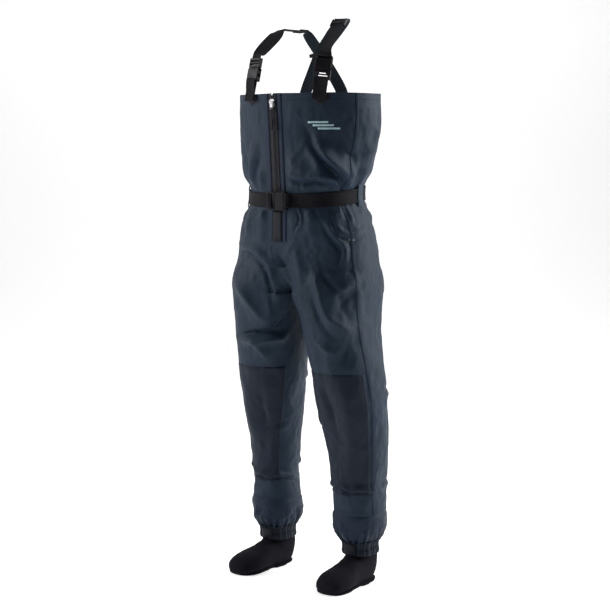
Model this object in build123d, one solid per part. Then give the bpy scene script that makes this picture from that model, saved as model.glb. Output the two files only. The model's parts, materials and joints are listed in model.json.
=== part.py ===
from build123d import *
from collections import namedtuple
from math import cos, copysign, pi, radians, sin, tan
import os

# Stocking-foot chest waders, standing as if worn. Millimetres, +Z up, the wearer faces -Y and the
# wearer's left is +X. The garment is drawn about the wearer, then every piece moves by ORIGIN_MOVE,
# which puts the middle of its box over the origin and the soles on Z = 0.
ORIGIN_MOVE = (-5.0, 2.8, 0.0)

# ---- cloth, neoprene and webbing ----
FABRIC = 2.0                # laminated shell fabric
NEOPRENE = 4.0              # sock wall
SOLE = 5.0                  # sock sole
PLY_GAP = 0.2               # air between two plies that are sewn together
PLY = 1.0                   # one added ply: tape, placket, patch
WEB = 38.0                  # suspender webbing width
WEB_THICK = 2.0
BELT_WEB = 40.0
RING_POINTS = 16            # points round one ring of the garment
OVAL_SIDES = 14             # sides of one ring of a sock

# ---- heights above the soles ----
RIM_Z = 1380.0
CROTCH_Z = 828.0
SOCK_SEAM_Z = 205.0         # shell fabric above, neoprene below
GUARD_TOP_Z = 200.0
CUFF_TOP_Z = 118.0
CUFF_BOTTOM_Z = 80.0
KNEE_TOP_Z = 612.0
KNEE_BOTTOM_Z = 262.0
HEM_DEPTH = 20.0

# ---- the straight front edge that the zip follows ----
ZIP_X = -15.0
FRONT_RIM_Y = -148.0
FRONT_LOW_Y = -124.0
FRONT_LOW_Z = 1060.0
ZIP_BOTTOM_Z = 985.0
ZIP_HALF_OPENING = 3.0
TAPE_EDGE = 15.0            # from the zip's centre line to the tape's outer edge
PLACKET_EDGE = 30.0
GARAGE_Z = (975.0, 1058.0)

# ---- waist belt ----
BELT_MID_Z = 1102.0         # at the side of the waist
BELT_MID_Y = 8.0
BELT_TILT = 6.2             # degrees, lower in front
BELT_OFF = 2.4              # from the shell fabric to the webbing
LOOP_OFF = 4.8              # from the shell fabric to the belt loops
BELT_BUCKLE_X = 26.0        # the housing's end of the buckle
BELT_BUCKLE_OFF = 11.6      # from the shell fabric to the buckle's middle plane

# ---- buckles, sliders and prongs ----
BUCKLE_WIDTH = 46.0
BELT_BUCKLE_WIDTH = 50.0
BUCKLE_THICK = 13.0
CLIP_THICK = 10.0
HOUSING_LONG = 38.0
CLIP_END = 66.0             # from the housing's end to the clip's end, fastened
BUCKLE_RISE = 34.0          # from the rim to the suspender buckle's lower end

# One level of the garment: its middle, its half width, how far it reaches to the front and to the
# back, and how square its corners are in front, at the back and on the side towards the other leg.
Level = namedtuple("Level", "z x y wide front back front_n back_n inner_n")


def front_edge_y(z):
    """The front centre line: straight from the rim to below the belt, then upright."""
    share = min(1.0, max(0.0, (RIM_Z - z) / (RIM_Z - FRONT_LOW_Z)))
    return FRONT_RIM_Y + share * (FRONT_LOW_Y - FRONT_RIM_Y)


def torso_level(z, mid_y, wide, back, front_n, back_n=2.4):
    return Level(z, 0.0, mid_y, wide, mid_y - front_edge_y(z), back, front_n, back_n, 2.4)


TORSO = [
    torso_level(CROTCH_Z, 6, 222, 142, 2.9),
    torso_level(875, 8, 220, 142, 2.9),
    torso_level(950, 8, 208, 130, 2.8),
    torso_level(1010, 8, 194, 118, 2.7),
    torso_level(1040, 8, 182, 110, 2.6),
    torso_level(FRONT_LOW_Z, 8, 172, 105, 2.5),
    torso_level(1120, 8, 166, 100, 2.4),
    torso_level(1140, 8, 172, 98, 2.4),
    torso_level(1165, 10, 188, 93, 2.3),
    torso_level(1225, 12, 212, 88, 2.2),
    torso_level(1285, 14, 220, 82, 2.2),
    torso_level(RIM_Z, 16, 220, 80, 2.2, 2.8),
]


def leg_level(side, z, x, y, wide, front, back, inner_n=2.2):
    return Level(z, side * x, y, wide, front, back, 2.2, 2.2, inner_n)


RIGHT, LEFT = -1, 1
LEGS = {
    RIGHT: [
        leg_level(RIGHT, SOCK_SEAM_Z, 147, 44, 67, 71, 75),
        leg_level(RIGHT, 275, 147, 40, 64, 68, 72),
        leg_level(RIGHT, 335, 145, 36, 67, 69, 73),
        leg_level(RIGHT, 415, 141, 28, 73, 74, 78),
        leg_level(RIGHT, 515, 135, 16, 81, 86, 90),
        leg_level(RIGHT, 615, 128, 8, 90, 100, 102),
        leg_level(RIGHT, 695, 123, 4, 96, 112, 116, 2.6),
        leg_level(RIGHT, 775, 117, 4, 103, 124, 128, 3.4),
        leg_level(RIGHT, CROTCH_Z, 111, 6, 109, 130, 138, 4.5),
    ],
    LEFT: [
        leg_level(LEFT, SOCK_SEAM_Z, 149, 44, 71, 75, 79),
        leg_level(LEFT, 275, 149, 40, 70, 74, 78),
        leg_level(LEFT, 335, 149, 36, 75, 76, 80),
        leg_level(LEFT, 415, 146, 28, 82, 82, 86),
        leg_level(LEFT, 515, 139, 16, 93, 96, 100),
        leg_level(LEFT, 615, 133, 8, 97, 106, 108),
        leg_level(LEFT, 695, 125, 4, 99, 114, 118, 2.6),
        leg_level(LEFT, 775, 118, 4, 103, 124, 128, 3.4),
        leg_level(LEFT, CROTCH_Z, 111, 6, 109, 130, 138, 4.5),
    ],
}
# Gravel guards, gathered into the cuff over the ankle.
ANKLE_X = 148.0
ANKLE_Y = 50.0


def guard_levels(side):
    puff = 3.0 if side == LEFT else 0.0
    return [
        leg_level(side, CUFF_BOTTOM_Z, ANKLE_X, ANKLE_Y, 49, 53, 55),
        leg_level(side, CUFF_TOP_Z, ANKLE_X, ANKLE_Y - 2, 51, 55, 57),
        leg_level(side, 136, ANKLE_X, ANKLE_Y - 3, 61 + puff, 65 + puff, 68 + puff),
        leg_level(side, 166, ANKLE_X, ANKLE_Y - 5, 69 + puff, 73 + puff, 77 + puff),
        leg_level(side, GUARD_TOP_Z, ANKLE_X, ANKLE_Y - 6, 70 + puff, 74 + puff, 78 + puff),
    ]


TOE_OUT = {RIGHT: 5.0, LEFT: 2.0}


def closed_spline(points):
    """A smooth closed curve whose points are evenly spaced in its parameter."""
    steps = [index / len(points) for index in range(len(points) + 1)]
    return Wire([Edge.make_spline(points, parameters=steps, periodic=True)])


def ring(level, grow):
    """One closed spline round a level, grown outward by grow."""
    inward = -copysign(1.0, level.x) if level.x else 0.0
    points = []
    for step in range(RING_POINTS):
        angle = 2 * pi * step / RING_POINTS
        c, s = cos(angle), sin(angle)
        square = level.front_n if s < 0 else level.back_n
        if c * inward > 0:
            square = level.inner_n
        reach = (level.back if s > 0 else level.front) + grow
        x = level.x + (level.wide + grow) * copysign(abs(c) ** (2 / square), c)
        y = level.y + reach * copysign(abs(s) ** (2 / square), s)
        points.append(Vector(x, y, level.z))
    return closed_spline(points)


def body(levels, grow=0.0):
    """The closed outer form through the levels."""
    return Solid.make_loft([ring(level, grow) for level in levels], ruled=True)


def layer(levels, inner, outer):
    """A sleeve between two distances from the outer face of the shell fabric."""
    return body(levels, outer) - body(levels, inner)


def block(x, y, z):
    """A box between two limits along each axis."""
    size = [high - low for low, high in (x, y, z)]
    middle = [(low + high) / 2 for low, high in (x, y, z)]
    return Pos(*middle) * Box(*size)


WIDE = (-400.0, 400.0)
DEEP = (-400.0, 400.0)
TORSO_SIDE_Y = -55.0        # side seam of the chest and hips
LEG_SIDE_Y = (-50.0, 15.0)  # side seam at the crotch and at the sock


def front_zone(move=0.0):
    """Everything in front of the side seams, which lean back with the legs."""
    top, low = LEG_SIDE_Y
    outline = Polyline(
        (-400, 1500), (TORSO_SIDE_Y + move, 1500), (TORSO_SIDE_Y + move, CROTCH_Z + 30),
        (top + move, CROTCH_Z), (low + move, SOCK_SEAM_Z), (low + move, 0), (-400, 0), close=True)
    return extrude(Plane.YZ * make_face(outline), 400, both=True)


def as_part(shape):
    """One solid, or a group of them, however the Boolean returned it."""
    solids = list(shape.solids())
    return solids[0] if len(solids) == 1 else Compound(children=solids)


def at_level(levels, z):
    """The level between two rows, for placing a piece on the surface."""
    for low, high in zip(levels, levels[1:]):
        if low.z <= z <= high.z:
            share = (z - low.z) / (high.z - low.z)
            return Level(*[a + share * (b - a) for a, b in zip(low, high)])
    raise ValueError(z)


def front_point(x, z, off=0.0):
    """The point on the front of the torso at x and z, off the fabric by off."""
    level = at_level(TORSO, z)
    share = abs(x) / (level.wide + off)
    y = level.y - (level.front + off) * (1 - share ** level.front_n) ** (1 / level.front_n)
    return Vector(x, y, z)


# ---------------------------------------------------------------- shell fabric
def torso_panels():
    shell = layer(TORSO, -FABRIC, 0.0)
    front = shell & front_zone()
    opening = block((ZIP_X - ZIP_HALF_OPENING, ZIP_X + ZIP_HALF_OPENING), (-400, 0),
                    (ZIP_BOTTOM_Z, RIM_Z + 1))
    front -= opening
    save("right_front_panel", front & block((-400, ZIP_X), DEEP, (0, 1500)))
    save("left_front_panel", front & block((ZIP_X, 400), DEEP, (0, 1500)))
    save("back_panel", shell - front_zone())


GUSSET_HALF = 30.0
GUSSET_BOTTOM_Z = 735.0


def leg_panels():
    gusset_zone = block((-GUSSET_HALF, GUSSET_HALF), DEEP, (GUSSET_BOTTOM_Z, CROTCH_Z))
    saddle = body(TORSO[:2]) & block((-GUSSET_HALF, GUSSET_HALF), DEEP, (CROTCH_Z, CROTCH_Z + 2.5))
    saddle = Pos(0, 0, -2.5) * saddle
    gusset = None
    for side, name in ((RIGHT, "right"), (LEFT, "left")):
        shell = layer(LEGS[side], -FABRIC, 0.0)
        wall = shell & gusset_zone
        gusset = wall if gusset is None else gusset + wall
        saddle -= body(LEGS[side], -FABRIC / 4)
        shell -= gusset_zone
        save(name + "_leg_front", shell & front_zone())
        save(name + "_leg_back", shell - front_zone())
    save("crotch_gusset", gusset + saddle)


def knee_patches():
    """The second ply over the front of each lower leg."""
    zone = front_zone(-14.0) & block(WIDE, DEEP, (KNEE_BOTTOM_Z, KNEE_TOP_Z))
    for side, name in ((RIGHT, "right"), (LEFT, "left")):
        save(name + "_knee_patch", layer(LEGS[side], PLY_GAP, PLY_GAP + PLY) & zone)


def rim_hem():
    """The facing turned down inside the rim, open at the zip."""
    hem = layer(TORSO[-2:], -FABRIC - PLY_GAP - PLY, -FABRIC - PLY_GAP)
    hem &= block(WIDE, DEEP, (RIM_Z - HEM_DEPTH, RIM_Z))
    save("rim_hem", hem - block((ZIP_X - 8, ZIP_X + 8), (-400, 0), (0, 1500)))


def seam_tapes():
    """Sealing tape inside the side seams of the chest and the legs."""
    half = 10.0
    strip = front_zone(half) - front_zone(-half)
    inner, outer = -FABRIC - PLY_GAP - 0.6, -FABRIC - PLY_GAP
    tapes = layer(TORSO, inner, outer) & strip & block(WIDE, DEEP, (CROTCH_Z + 6, RIM_Z - 24))
    solids = list(tapes.solids())
    for side in (RIGHT, LEFT):
        tape = layer(LEGS[side], inner, outer) & strip
        tape &= block(WIDE, DEEP, (SOCK_SEAM_Z + 6, GUSSET_BOTTOM_Z - 6))
        solids += list(tape.solids())
    save("inner_seam_tapes", Compound(children=solids))


# ---------------------------------------------------------------- feet
# The sock is one bent tube. Its rings fan round a point in front of the ankle: each has a lean in
# degrees from upright, and its distances from that point to the instep and to the sole or heel.
FAN_FORWARD = 72.0          # the fan's centre, ahead of the ankle's middle
FAN_Z = 128.0
SOCK_FAN = [(0, 58, 144, 43), (25, 56, 164, 42), (45, 45, 166, 41), (62, 37, 144, 40),
            (78, 31, 122, 40), (90, 28, 117, 41)]
# Ahead of the fan: forward of its centre, height of the top, half width.
SOCK_FORE = [(32, 60, 47), (60, 56, 50), (84, 51, 47), (101, 44, 40), (110, 34, 27)]
SOCK_CALF = [(165, 52, 55), (SOCK_SEAM_Z, 60, 64)]


def foot_plane(side):
    """Local X across, local Y up, local Z back, at the ankle and turned out with the foot."""
    turn = radians(TOE_OUT[side])
    back = Vector(-side * sin(turn), cos(turn), 0)
    return Plane((side * ANKLE_X, ANKLE_Y, 0), x_dir=back.cross(Vector(0, 0, -1)), z_dir=back)


def oval(centre, across, along, half_across, half_along):
    """A closed ring of straight sides in the plane of two directions."""
    points = []
    for step in range(OVAL_SIDES):
        angle = 2 * pi * (step + 0.5) / OVAL_SIDES
        points.append(centre + across * half_across * cos(angle) + along * half_along * sin(angle))
    return Wire.make_polygon(points)


def sock_rings(side, grow, fore):
    """The rings of one sock, grown outward by grow, from the last of fore to the calf."""
    plane = foot_plane(side)
    across, up, back = plane.x_dir, Vector(0, 0, 1), plane.z_dir
    hub = plane.origin - back * FAN_FORWARD + up * FAN_Z
    below = 8.0                 # how far the rings dip under the floor, which cuts the sole flat
    rings = []
    for forward, top, half in reversed(fore):
        middle = hub - back * forward + up * ((top - below) / 2 - FAN_Z)
        rings.append(oval(middle, across, up, half + grow, (top + below) / 2 + grow))
    for lean, near, far, half in SOCK_FAN:
        ray = back * sin(radians(lean)) - up * cos(radians(lean))
        rings.append(oval(hub + ray * ((near + far) / 2), across, ray * -1,
                          half + grow, (far - near) / 2 + grow))
    for z, half, deep in SOCK_CALF:
        middle = plane.origin + up * z - back * 4
        rings.append(oval(middle, across, back * -1, half + grow, deep + grow))
    return rings


def socks():
    floor = block((-500, 500), (-500, 500), (-60, 0))
    for side, name in ((RIGHT, "right"), (LEFT, "left")):
        outer = Solid.make_loft(sock_rings(side, 0.0, SOCK_FORE), ruled=True) - floor
        inner = Solid.make_loft(sock_rings(side, -NEOPRENE, SOCK_FORE[:-1]), ruled=True)
        slab = block((-500, 500), (-500, 500), (0, SOLE))
        save(name + "_sock_sole", outer & slab)
        save(name + "_sock_upper", outer - slab - inner)


def gravel_guards():
    for side, name in ((RIGHT, "right"), (LEFT, "left")):
        levels = guard_levels(side)
        guard = layer(levels[1:], -FABRIC, 0.0)
        cuff = layer(levels[:2], -2.5, 0.5)
        save(name + "_gravel_guard", guard)
        save(name + "_cuff_elastic", cuff)


def cuff_tabs():
    """The stiff pull tab sewn to the front of each cuff."""
    tabs = []
    for side in (RIGHT, LEFT):
        zone = block((side * ANKLE_X - 14, side * ANKLE_X + 14), (-400, ANKLE_Y), (87, 112))
        tabs += list((layer(guard_levels(side)[:2], 0.8, 3.0) & zone).solids())
    save("cuff_tabs", Compound(children=tabs))


# ---------------------------------------------------------------- front zip
def surface_plane(x, z, off=0.0):
    """On the straight front: local Y up along it, local Z out of it, local X to the wearer's left."""
    fall = FRONT_LOW_Y - FRONT_RIM_Y
    drop = RIM_Z - FRONT_LOW_Z
    up = Vector(0, -fall, drop).normalized()
    out = Vector(0, -drop, -fall).normalized()
    origin = Vector(x, front_edge_y(z), z) + out * off
    return Plane(origin, x_dir=up.cross(out), z_dir=out)


def ring_front(level, grow, xs):
    """The front of one ring at each X, read from its spline."""
    edge = ring(level, grow).edges()[0]
    spots = [edge.position_at(0.66 + 0.18 * step / 90) for step in range(91)]
    found = []
    for x in xs:
        for before, after in zip(spots, spots[1:]):
            if before.X <= x <= after.X:
                share = (x - before.X) / (after.X - before.X)
                found.append(before + (after - before) * share)
                break
    return found


def front_strip(left, right):
    """A ply of the front from the garage to the rim, between two distances across it."""
    low = GARAGE_Z[0]
    levels = [at_level(TORSO, low)] + [level for level in TORSO if level.z > low]
    xs = [left + (right - left) * step / 2 for step in range(3)]
    sections = []
    for level in levels:
        near = ring_front(level, PLY_GAP, xs)
        far = ring_front(level, PLY_GAP + PLY, xs)
        sections.append(Wire.make_polygon(near + far[::-1]))
    return Solid.make_loft(sections, ruled=True)


def zip_tapes_and_plackets():
    edges = ((TAPE_EDGE, ZIP_HALF_OPENING, "zip_tape"), (PLACKET_EDGE, TAPE_EDGE + 0.5, "placket"))
    for outer_edge, inner_edge, name in edges:
        save("right_" + name, front_strip(ZIP_X - outer_edge, ZIP_X - inner_edge))
        save("left_" + name, front_strip(ZIP_X + inner_edge, ZIP_X + outer_edge))


TOOTH_PITCH = 4.0
TOOTH_REACH = 1.2           # past the zip's centre line
TEETH_TOP_Z = 1372.0
TEETH_COUNT = 78


def zip_teeth():
    """Two interlocking rows of teeth on their own spines, in one flat plane."""
    for side, name, shift in ((RIGHT, "right", 0.0), (LEFT, "left", TOOTH_PITCH / 2)):
        spine, root = side * (ZIP_HALF_OPENING - 0.1), side * 1.5
        tip = -side * TOOTH_REACH
        outline = [(spine, 2.0)]
        for tooth in range(TEETH_COUNT):
            top = -tooth * TOOTH_PITCH - shift
            outline += [(root, top), (tip, top), (tip, top - 1.7), (root, top - 1.7)]
        outline += [(root, outline[-1][1] - 2.0), (spine, outline[-1][1] - 2.0)]
        face = surface_plane(ZIP_X, TEETH_TOP_Z, -1.1) * make_face(Polyline(*outline, close=True))
        save(name + "_zip_teeth", extrude(face, 2.8))


def zip_ends():
    stops = []
    for side in (RIGHT, LEFT):
        place = surface_plane(ZIP_X, TEETH_TOP_Z + 5.0, 0.3).location
        stops.append(place * Pos(side * 1.9, 0, 0) * Box(1.8, 4.0, 3.4))
    save("zip_top_stops", Compound(children=stops))
    garage = layer(TORSO, 2.2, 3.4)
    save("zip_garage", garage & block((ZIP_X - TAPE_EDGE - 1, ZIP_X + TAPE_EDGE + 1), (-400, 0), GARAGE_Z))


SLIDER_Z = 1353.0           # middle of the slider, zip closed
PULL_PIN_OFF = 7.0          # from the fabric to the pull's pin
PULL_TAB_LONG = 24.0
PULL_STRAP_END = 76.0       # below the pin


SLIDER_WIDE = 15.0
SLIDER_LONG = 22.0
SLIDER_PLATE_OFF = 3.1      # the middle of the plate, off the cloth
SLIDER_PLATE_THICK = 2.0
SLIDER_CORNER = 4.0
SLIDER_LIP = (1.6, 16.0, 0.9)
SLIDER_LIP_AT = (6.5, -1.0, 2.05)
BRIDGE_POST = (2.0, 7.0, 4.6)
BRIDGE_POST_AT = (5.4, 3.0, 5.8)
PIN_RADIUS = 1.07
PIN_LONG = 12.0
PIN_UP = 3.0                # above the slider's middle


def zip_slider():
    """A slider plate with a lip each side and a bridge that carries the pull's pin."""
    plane = surface_plane(ZIP_X, SLIDER_Z, 0.0)
    plate = Pos(0, 0, SLIDER_PLATE_OFF) * Box(SLIDER_WIDE, SLIDER_LONG, SLIDER_PLATE_THICK)
    plate = fillet(plate.edges().filter_by(Axis.Z), SLIDER_CORNER)
    for side in (RIGHT, LEFT):
        for size, (x, y, z) in ((SLIDER_LIP, SLIDER_LIP_AT), (BRIDGE_POST, BRIDGE_POST_AT)):
            plate += Pos(side * x, y, z) * Box(*size)
    pin = Pos(0, PIN_UP, PULL_PIN_OFF) * Rot(0, 90, 0) * Cylinder(PIN_RADIUS, PIN_LONG)
    save("zip_slider", plane.location * (plate + pin))


def pull_pin():
    """The middle of the pin that the pull hangs from."""
    return (surface_plane(ZIP_X, SLIDER_Z).location * Pos(0, PIN_UP, PULL_PIN_OFF)).position


PULL_WIDE = 8.0
PULL_THICK = 1.8
PULL_TAB_DROP = 9.0         # the tab's middle, below the pin
PULL_CORNER = 2.5
PULL_EYE_RADIUS = 2.4
PULL_BORE_RADIUS = 1.15
PULL_SLOT = (5.6, 4.0, 4.0)
PULL_SLOT_DROP = 16.0
PULL_NECK = (9.0, 6.0, 2.9)  # cut from the tab's top to make room for the eye
PULL_LOOP = ((-24.0, -16.2), 2.0)
PULL_LOOP_HOLE = ((-21.4, -17.7), 1.1)
CORD_HALF = 2.5
CORD_THICK = 1.6
CORD_TOP = -23.0
GRIP_LONG = 28.0
GRIP_THICK = 3.2
GRIP_CORNER = 2.0


def zip_pull():
    """The metal tab hangs upright from the pin, with the webbing pull through its lower end."""
    hang = Pos(*pull_pin()) * Rot(90, 0, 0)
    tab = Pos(0, -PULL_TAB_DROP, 0) * Box(PULL_WIDE, PULL_TAB_LONG, PULL_THICK)
    tab = fillet(tab.edges().filter_by(Axis.Z), PULL_CORNER)
    tab -= Pos(0, -PULL_SLOT_DROP, 0) * Box(*PULL_SLOT)
    barrel = Cylinder(PULL_EYE_RADIUS, PULL_WIDE) - Cylinder(PULL_BORE_RADIUS, PULL_WIDE + 1)
    tab = (tab - Box(*PULL_NECK)) + Rot(0, 90, 0) * barrel
    save("zip_pull_tab", hang * tab)
    along, deep = PULL_LOOP
    hole, gap = PULL_LOOP_HOLE
    across = (-CORD_HALF, CORD_HALF)
    strap = block(across, (-PULL_STRAP_END, CORD_TOP), (-CORD_THICK / 2, CORD_THICK / 2))
    strap += block(across, along, (-deep, deep)) - block((-CORD_HALF - 0.5, CORD_HALF + 0.5), hole, (-gap, gap))
    grip = Pos(0, GRIP_LONG / 2 - PULL_STRAP_END, 0) * Box(PULL_WIDE, GRIP_LONG, GRIP_THICK)
    grip = fillet(grip.edges().filter_by(Axis.Z), GRIP_CORNER)
    save("zip_pull_cord", hang * (strap + grip))


# ---------------------------------------------------------------- buckles and sliders
WEB_GAP = 1.2               # a slot is this much wider than its webbing
BUCKLE_CORNER = 4.0
CLIP_CORNER = 3.0
FACE_CHAMFER = (1.5, 1.2)   # of the housing and the clip
HOUSING_SLOT = (4.0, 9.0)
HOUSING_MOUTH = 13.0        # where the hollow for the clip starts
MOUTH_HALF = 4.0
SLOT_FLOOR = 1.3            # webbing lies below this, behind a buckle's back
CLIP_SLOTS = ((46.0, 51.0), (54.5, 60.0))
CLIP_BACK = 50.0
PRONG_HALF = 3.5
PRONG_FORM = [("in", 0.0, 38.1), ("out", 0.0, 38.1), ("out", 0.5, 33.0), ("barb", 0.0, 29.5),
              ("barb", 0.0, 22.0), ("out", -1.0, 15.0), ("in", 0.5, 15.0)]


def buckle_housing(half, slot, rib_x):
    """The part with a mouth, with two ribs inside it that guide the clip."""
    housing = Pos(0, HOUSING_LONG / 2, 0) * Box(2 * half, HOUSING_LONG, BUCKLE_THICK)
    housing = fillet(housing.edges().filter_by(Axis.Z), BUCKLE_CORNER)
    housing = chamfer(housing.edges().group_by(Axis.Z)[-1], FACE_CHAMFER[0])
    housing -= block(slot, HOUSING_SLOT, (-BUCKLE_THICK, BUCKLE_THICK))
    housing -= block(slot, (-1, HOUSING_SLOT[0] + 1), (-BUCKLE_THICK, SLOT_FLOOR))
    housing -= block((-half - 1, half + 1), (HOUSING_MOUTH, HOUSING_LONG + 1), (-MOUTH_HALF, MOUTH_HALF))
    for side in (RIGHT, LEFT):
        rib = (side * rib_x - 1, side * rib_x + 1)
        housing += block(rib, (HOUSING_MOUTH - 1, HOUSING_LONG), (-MOUTH_HALF - 0.2, MOUTH_HALF + 0.2))
    return housing


def buckle_clip(half, slot):
    """The clip's body, with two slots for the strap and a tongue between the prongs."""
    start = HOUSING_LONG + 0.4
    clip = Pos(0, (start + CLIP_END) / 2, 0) * Box(2 * half, CLIP_END - start, CLIP_THICK)
    clip = fillet(clip.edges().filter_by(Axis.Z), CLIP_CORNER)
    clip = chamfer(clip.edges().group_by(Axis.Z)[-1], FACE_CHAMFER[1])
    for reach in CLIP_SLOTS:
        clip -= block(slot, reach, (-CLIP_THICK, CLIP_THICK))
    clip -= block(slot, (CLIP_BACK, CLIP_END + 1), (-CLIP_THICK, SLOT_FLOOR))
    return clip + block((-4, 4), (HOUSING_MOUTH + 4, HOUSING_LONG + 1), (-PRONG_HALF, PRONG_HALF))


def release_buckle(width, web):
    """A side-release buckle in its own frame: housing from Y = 0, clip beyond it, face along Z."""
    half, slot = width / 2, (-(web + WEB_GAP) / 2, (web + WEB_GAP) / 2)
    arm = {"in": half - 12.5, "out": half - 8.0, "barb": half - 1.0}
    prongs = []
    for side in (RIGHT, LEFT):
        outline = [(side * (arm[edge] + more), y) for edge, more, y in PRONG_FORM]
        prongs.append(extrude(make_face(Polyline(*outline, close=True)), PRONG_HALF, both=True))
    return buckle_housing(half, slot, arm["in"] - 4.0), buckle_clip(half, slot), prongs


GLIDE_LONG = 26.0
GLIDE_THICK = 7.0
GLIDE_BAR = 6.0             # the middle bar


def tri_glide(web):
    """A three-bar slider: the strap lies behind its middle bar and over its end bars."""
    half = web / 2 + 0.6
    across, past, face = (-half, half), GLIDE_LONG / 2 + 1, GLIDE_THICK / 2 + 0.5
    glide = Box(2 * half + 8, GLIDE_LONG, GLIDE_THICK)
    glide = fillet(glide.edges().filter_by(Axis.Z), 3.0)
    glide -= block(across, (-past, past), (-1.5, 1.5))
    glide -= block(across, (-9, 9), (-face, -1.4))
    glide -= block(across, (-past, -GLIDE_BAR / 2), (1.4, face))
    glide -= block(across, (GLIDE_BAR / 2, past), (1.4, face))
    return glide


def strap_frame(origin, axis, outward):
    """Local Y along axis, local Z outward, local X across the strap."""
    axis = axis.normalized()
    outward = (outward - axis * outward.dot(axis)).normalized()
    return Plane(origin, x_dir=axis.cross(outward), z_dir=outward)


def ribbon(stations, width, thick, straight=None):
    """A flat strap through stations of (middle, direction across). The run between stations number
    straight and straight + 1 has square ends, so that it is flat and straight."""
    middles = [Vector(*middle) for middle, _ in stations]
    sections = []
    for index, (_, across) in enumerate(stations):
        ahead = middles[min(index + 1, len(middles) - 1)]
        behind = middles[max(index - 1, 0)]
        if straight is not None and straight <= index <= straight + 1:
            behind, ahead = middles[straight], middles[straight + 1]
        along = (ahead - behind).normalized()
        across = Vector(*across)
        across = (across - along * across.dot(along)).normalized()
        sections.append(Plane(middles[index], x_dir=across, z_dir=along) * Rectangle(width, thick))
    return loft(sections, ruled=True)


# ---------------------------------------------------------------- suspenders
TAB_X = {RIGHT: -96.0, LEFT: 129.0}
TAB_OUT = {RIGHT: Vector(-0.24, -0.97, 0), LEFT: Vector(0.36, -0.93, 0)}
TAB_AXIS = {RIGHT: Vector(0.06, 0.2, 0.978), LEFT: Vector(0.03, 0.2, 0.979)}
ANCHOR_DEPTH = 33.0         # the sewn patch below the rim


def tab_frame(side):
    return strap_frame(front_point(TAB_X[side], RIM_Z, 5.0), TAB_AXIS[side], TAB_OUT[side])


def side_name(side):
    return "right" if side == RIGHT else "left"


def strap_anchor(side):
    """The pointed patch that sews the tab to the front of the rim."""
    x, half = TAB_X[side], WEB / 2 + 2
    outline = Polyline((x - half, RIM_Z + 9), (x + half, RIM_Z + 9), (x + half, RIM_Z - ANCHOR_DEPTH + 14),
                       (x, RIM_Z - ANCHOR_DEPTH), (x - half, RIM_Z - ANCHOR_DEPTH + 14), close=True)
    zone = extrude(Plane.XZ * make_face(outline), 400)
    save(side_name(side) + "_strap_anchor", layer(TORSO[-2:], PLY_GAP, PLY_GAP + 1.6) & zone)


def tab_loop(side):
    """The webbing loop from the anchor round the buckle's lower bar, in the tab's frame."""
    reach = BUCKLE_RISE if side == RIGHT else BUCKLE_RISE + 0.8
    profile = Polyline(
        (-20, -1.1), (reach + 7.5, -1.1), (reach + 7.5, 8.6), (reach - 4, 8.6), (4, 3.2), (-20, 3.2),
        (-20, 1.1), (4, 1.1), (reach - 2, 6.8), (reach + 5.6, 6.8), (reach + 5.6, 0.9), (-20, 0.9),
        close=True)
    face = Plane.YZ * make_face(profile)
    return tab_frame(side).location * extrude(face, WEB / 2, both=True)


RIGHT_RUN = (Vector(-80, -8, 1562), Vector(-53, 54, 1560))      # straight length that the slider uses
LEFT_RUN_TOP = Vector(128, -29, 1579)
SLIDER_FROM_END = 14.0
CROSS_POINT = Vector(-8, 68, 1493)
CROSS_OUT = Vector(0, 0.96, 0.28)


def right_front_stations():
    frame = tab_frame(RIGHT)
    across = frame.x_dir
    low = frame.origin + frame.y_dir * (BUCKLE_RISE + 48)
    high = frame.origin + frame.y_dir * (BUCKLE_RISE + CLIP_END + 8)
    flat = run_frame(RIGHT).x_dir
    return [(low, across), (high, across), ((-86, -90, 1508), across), ((-83, -50, 1539), across),
            (RIGHT_RUN[0], flat), (RIGHT_RUN[1], flat)]


def left_front_stations():
    frame = tab_frame(LEFT)
    low = frame.origin + frame.y_dir * (BUCKLE_RISE + CLIP_END - 7.5)
    clear = frame.origin + frame.y_dir * (BUCKLE_RISE + CLIP_END + 2)
    flat = run_frame(LEFT).x_dir
    return [(low, frame.x_dir), (clear, frame.x_dir), (left_run_start(), flat), (LEFT_RUN_TOP, flat)]


def left_run_start():
    frame = tab_frame(LEFT)
    return frame.origin + frame.y_dir * (BUCKLE_RISE + CLIP_END + 18)


def run_frame(side):
    """The slider's frame on the straight run of its strap."""
    if side == RIGHT:
        start, end = RIGHT_RUN
        outward = Vector(0, 0, 1)
    else:
        start, end = left_run_start(), LEFT_RUN_TOP
        outward = Vector(0, -1, 0.8)
    axis = (end - start).normalized()
    return strap_frame(end - axis * SLIDER_FROM_END, axis, outward)




def back_stations(side):
    """The elastic half of each suspender, down the back to the outside of the rim."""
    if side == RIGHT:
        start = RIGHT_RUN[1] + Vector(1.5, 1.6, -1.5)
        cross = CROSS_POINT + CROSS_OUT * 2.6
        return [(start, (0.85, -0.45, 0.2)), ((-40, 63, 1540), (0.86, -0.2, 0.45)),
                (cross, (0.854, -0.145, 0.496)), ((22, 86, 1440), (0.87, -0.1, 0.47)),
                ((45, 98.5, 1390), (0.93, 0, 0.36)), ((53, 101, 1346), (1, 0, 0))]
    start = LEFT_RUN_TOP + Vector(-0.3, 2.2, 1.2)
    cross = CROSS_POINT - CROSS_OUT * 2.6
    return [(start, (0.97, 0.1, 0)), ((116, 2, 1578), (0.9, 0.4, 0)), ((80, 28, 1562), (0.6, 0.6, -0.5)),
            ((36, 49, 1533), (0.75, 0.19, -0.63)), (cross, (0.762, 0.181, -0.62)),
            ((-48, 84, 1440), (0.79, 0.15, -0.59)), ((-82, 98.5, 1390), (0.92, 0.05, -0.38)),
            ((-91, 99, 1346), (1, 0.08, 0))]


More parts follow.
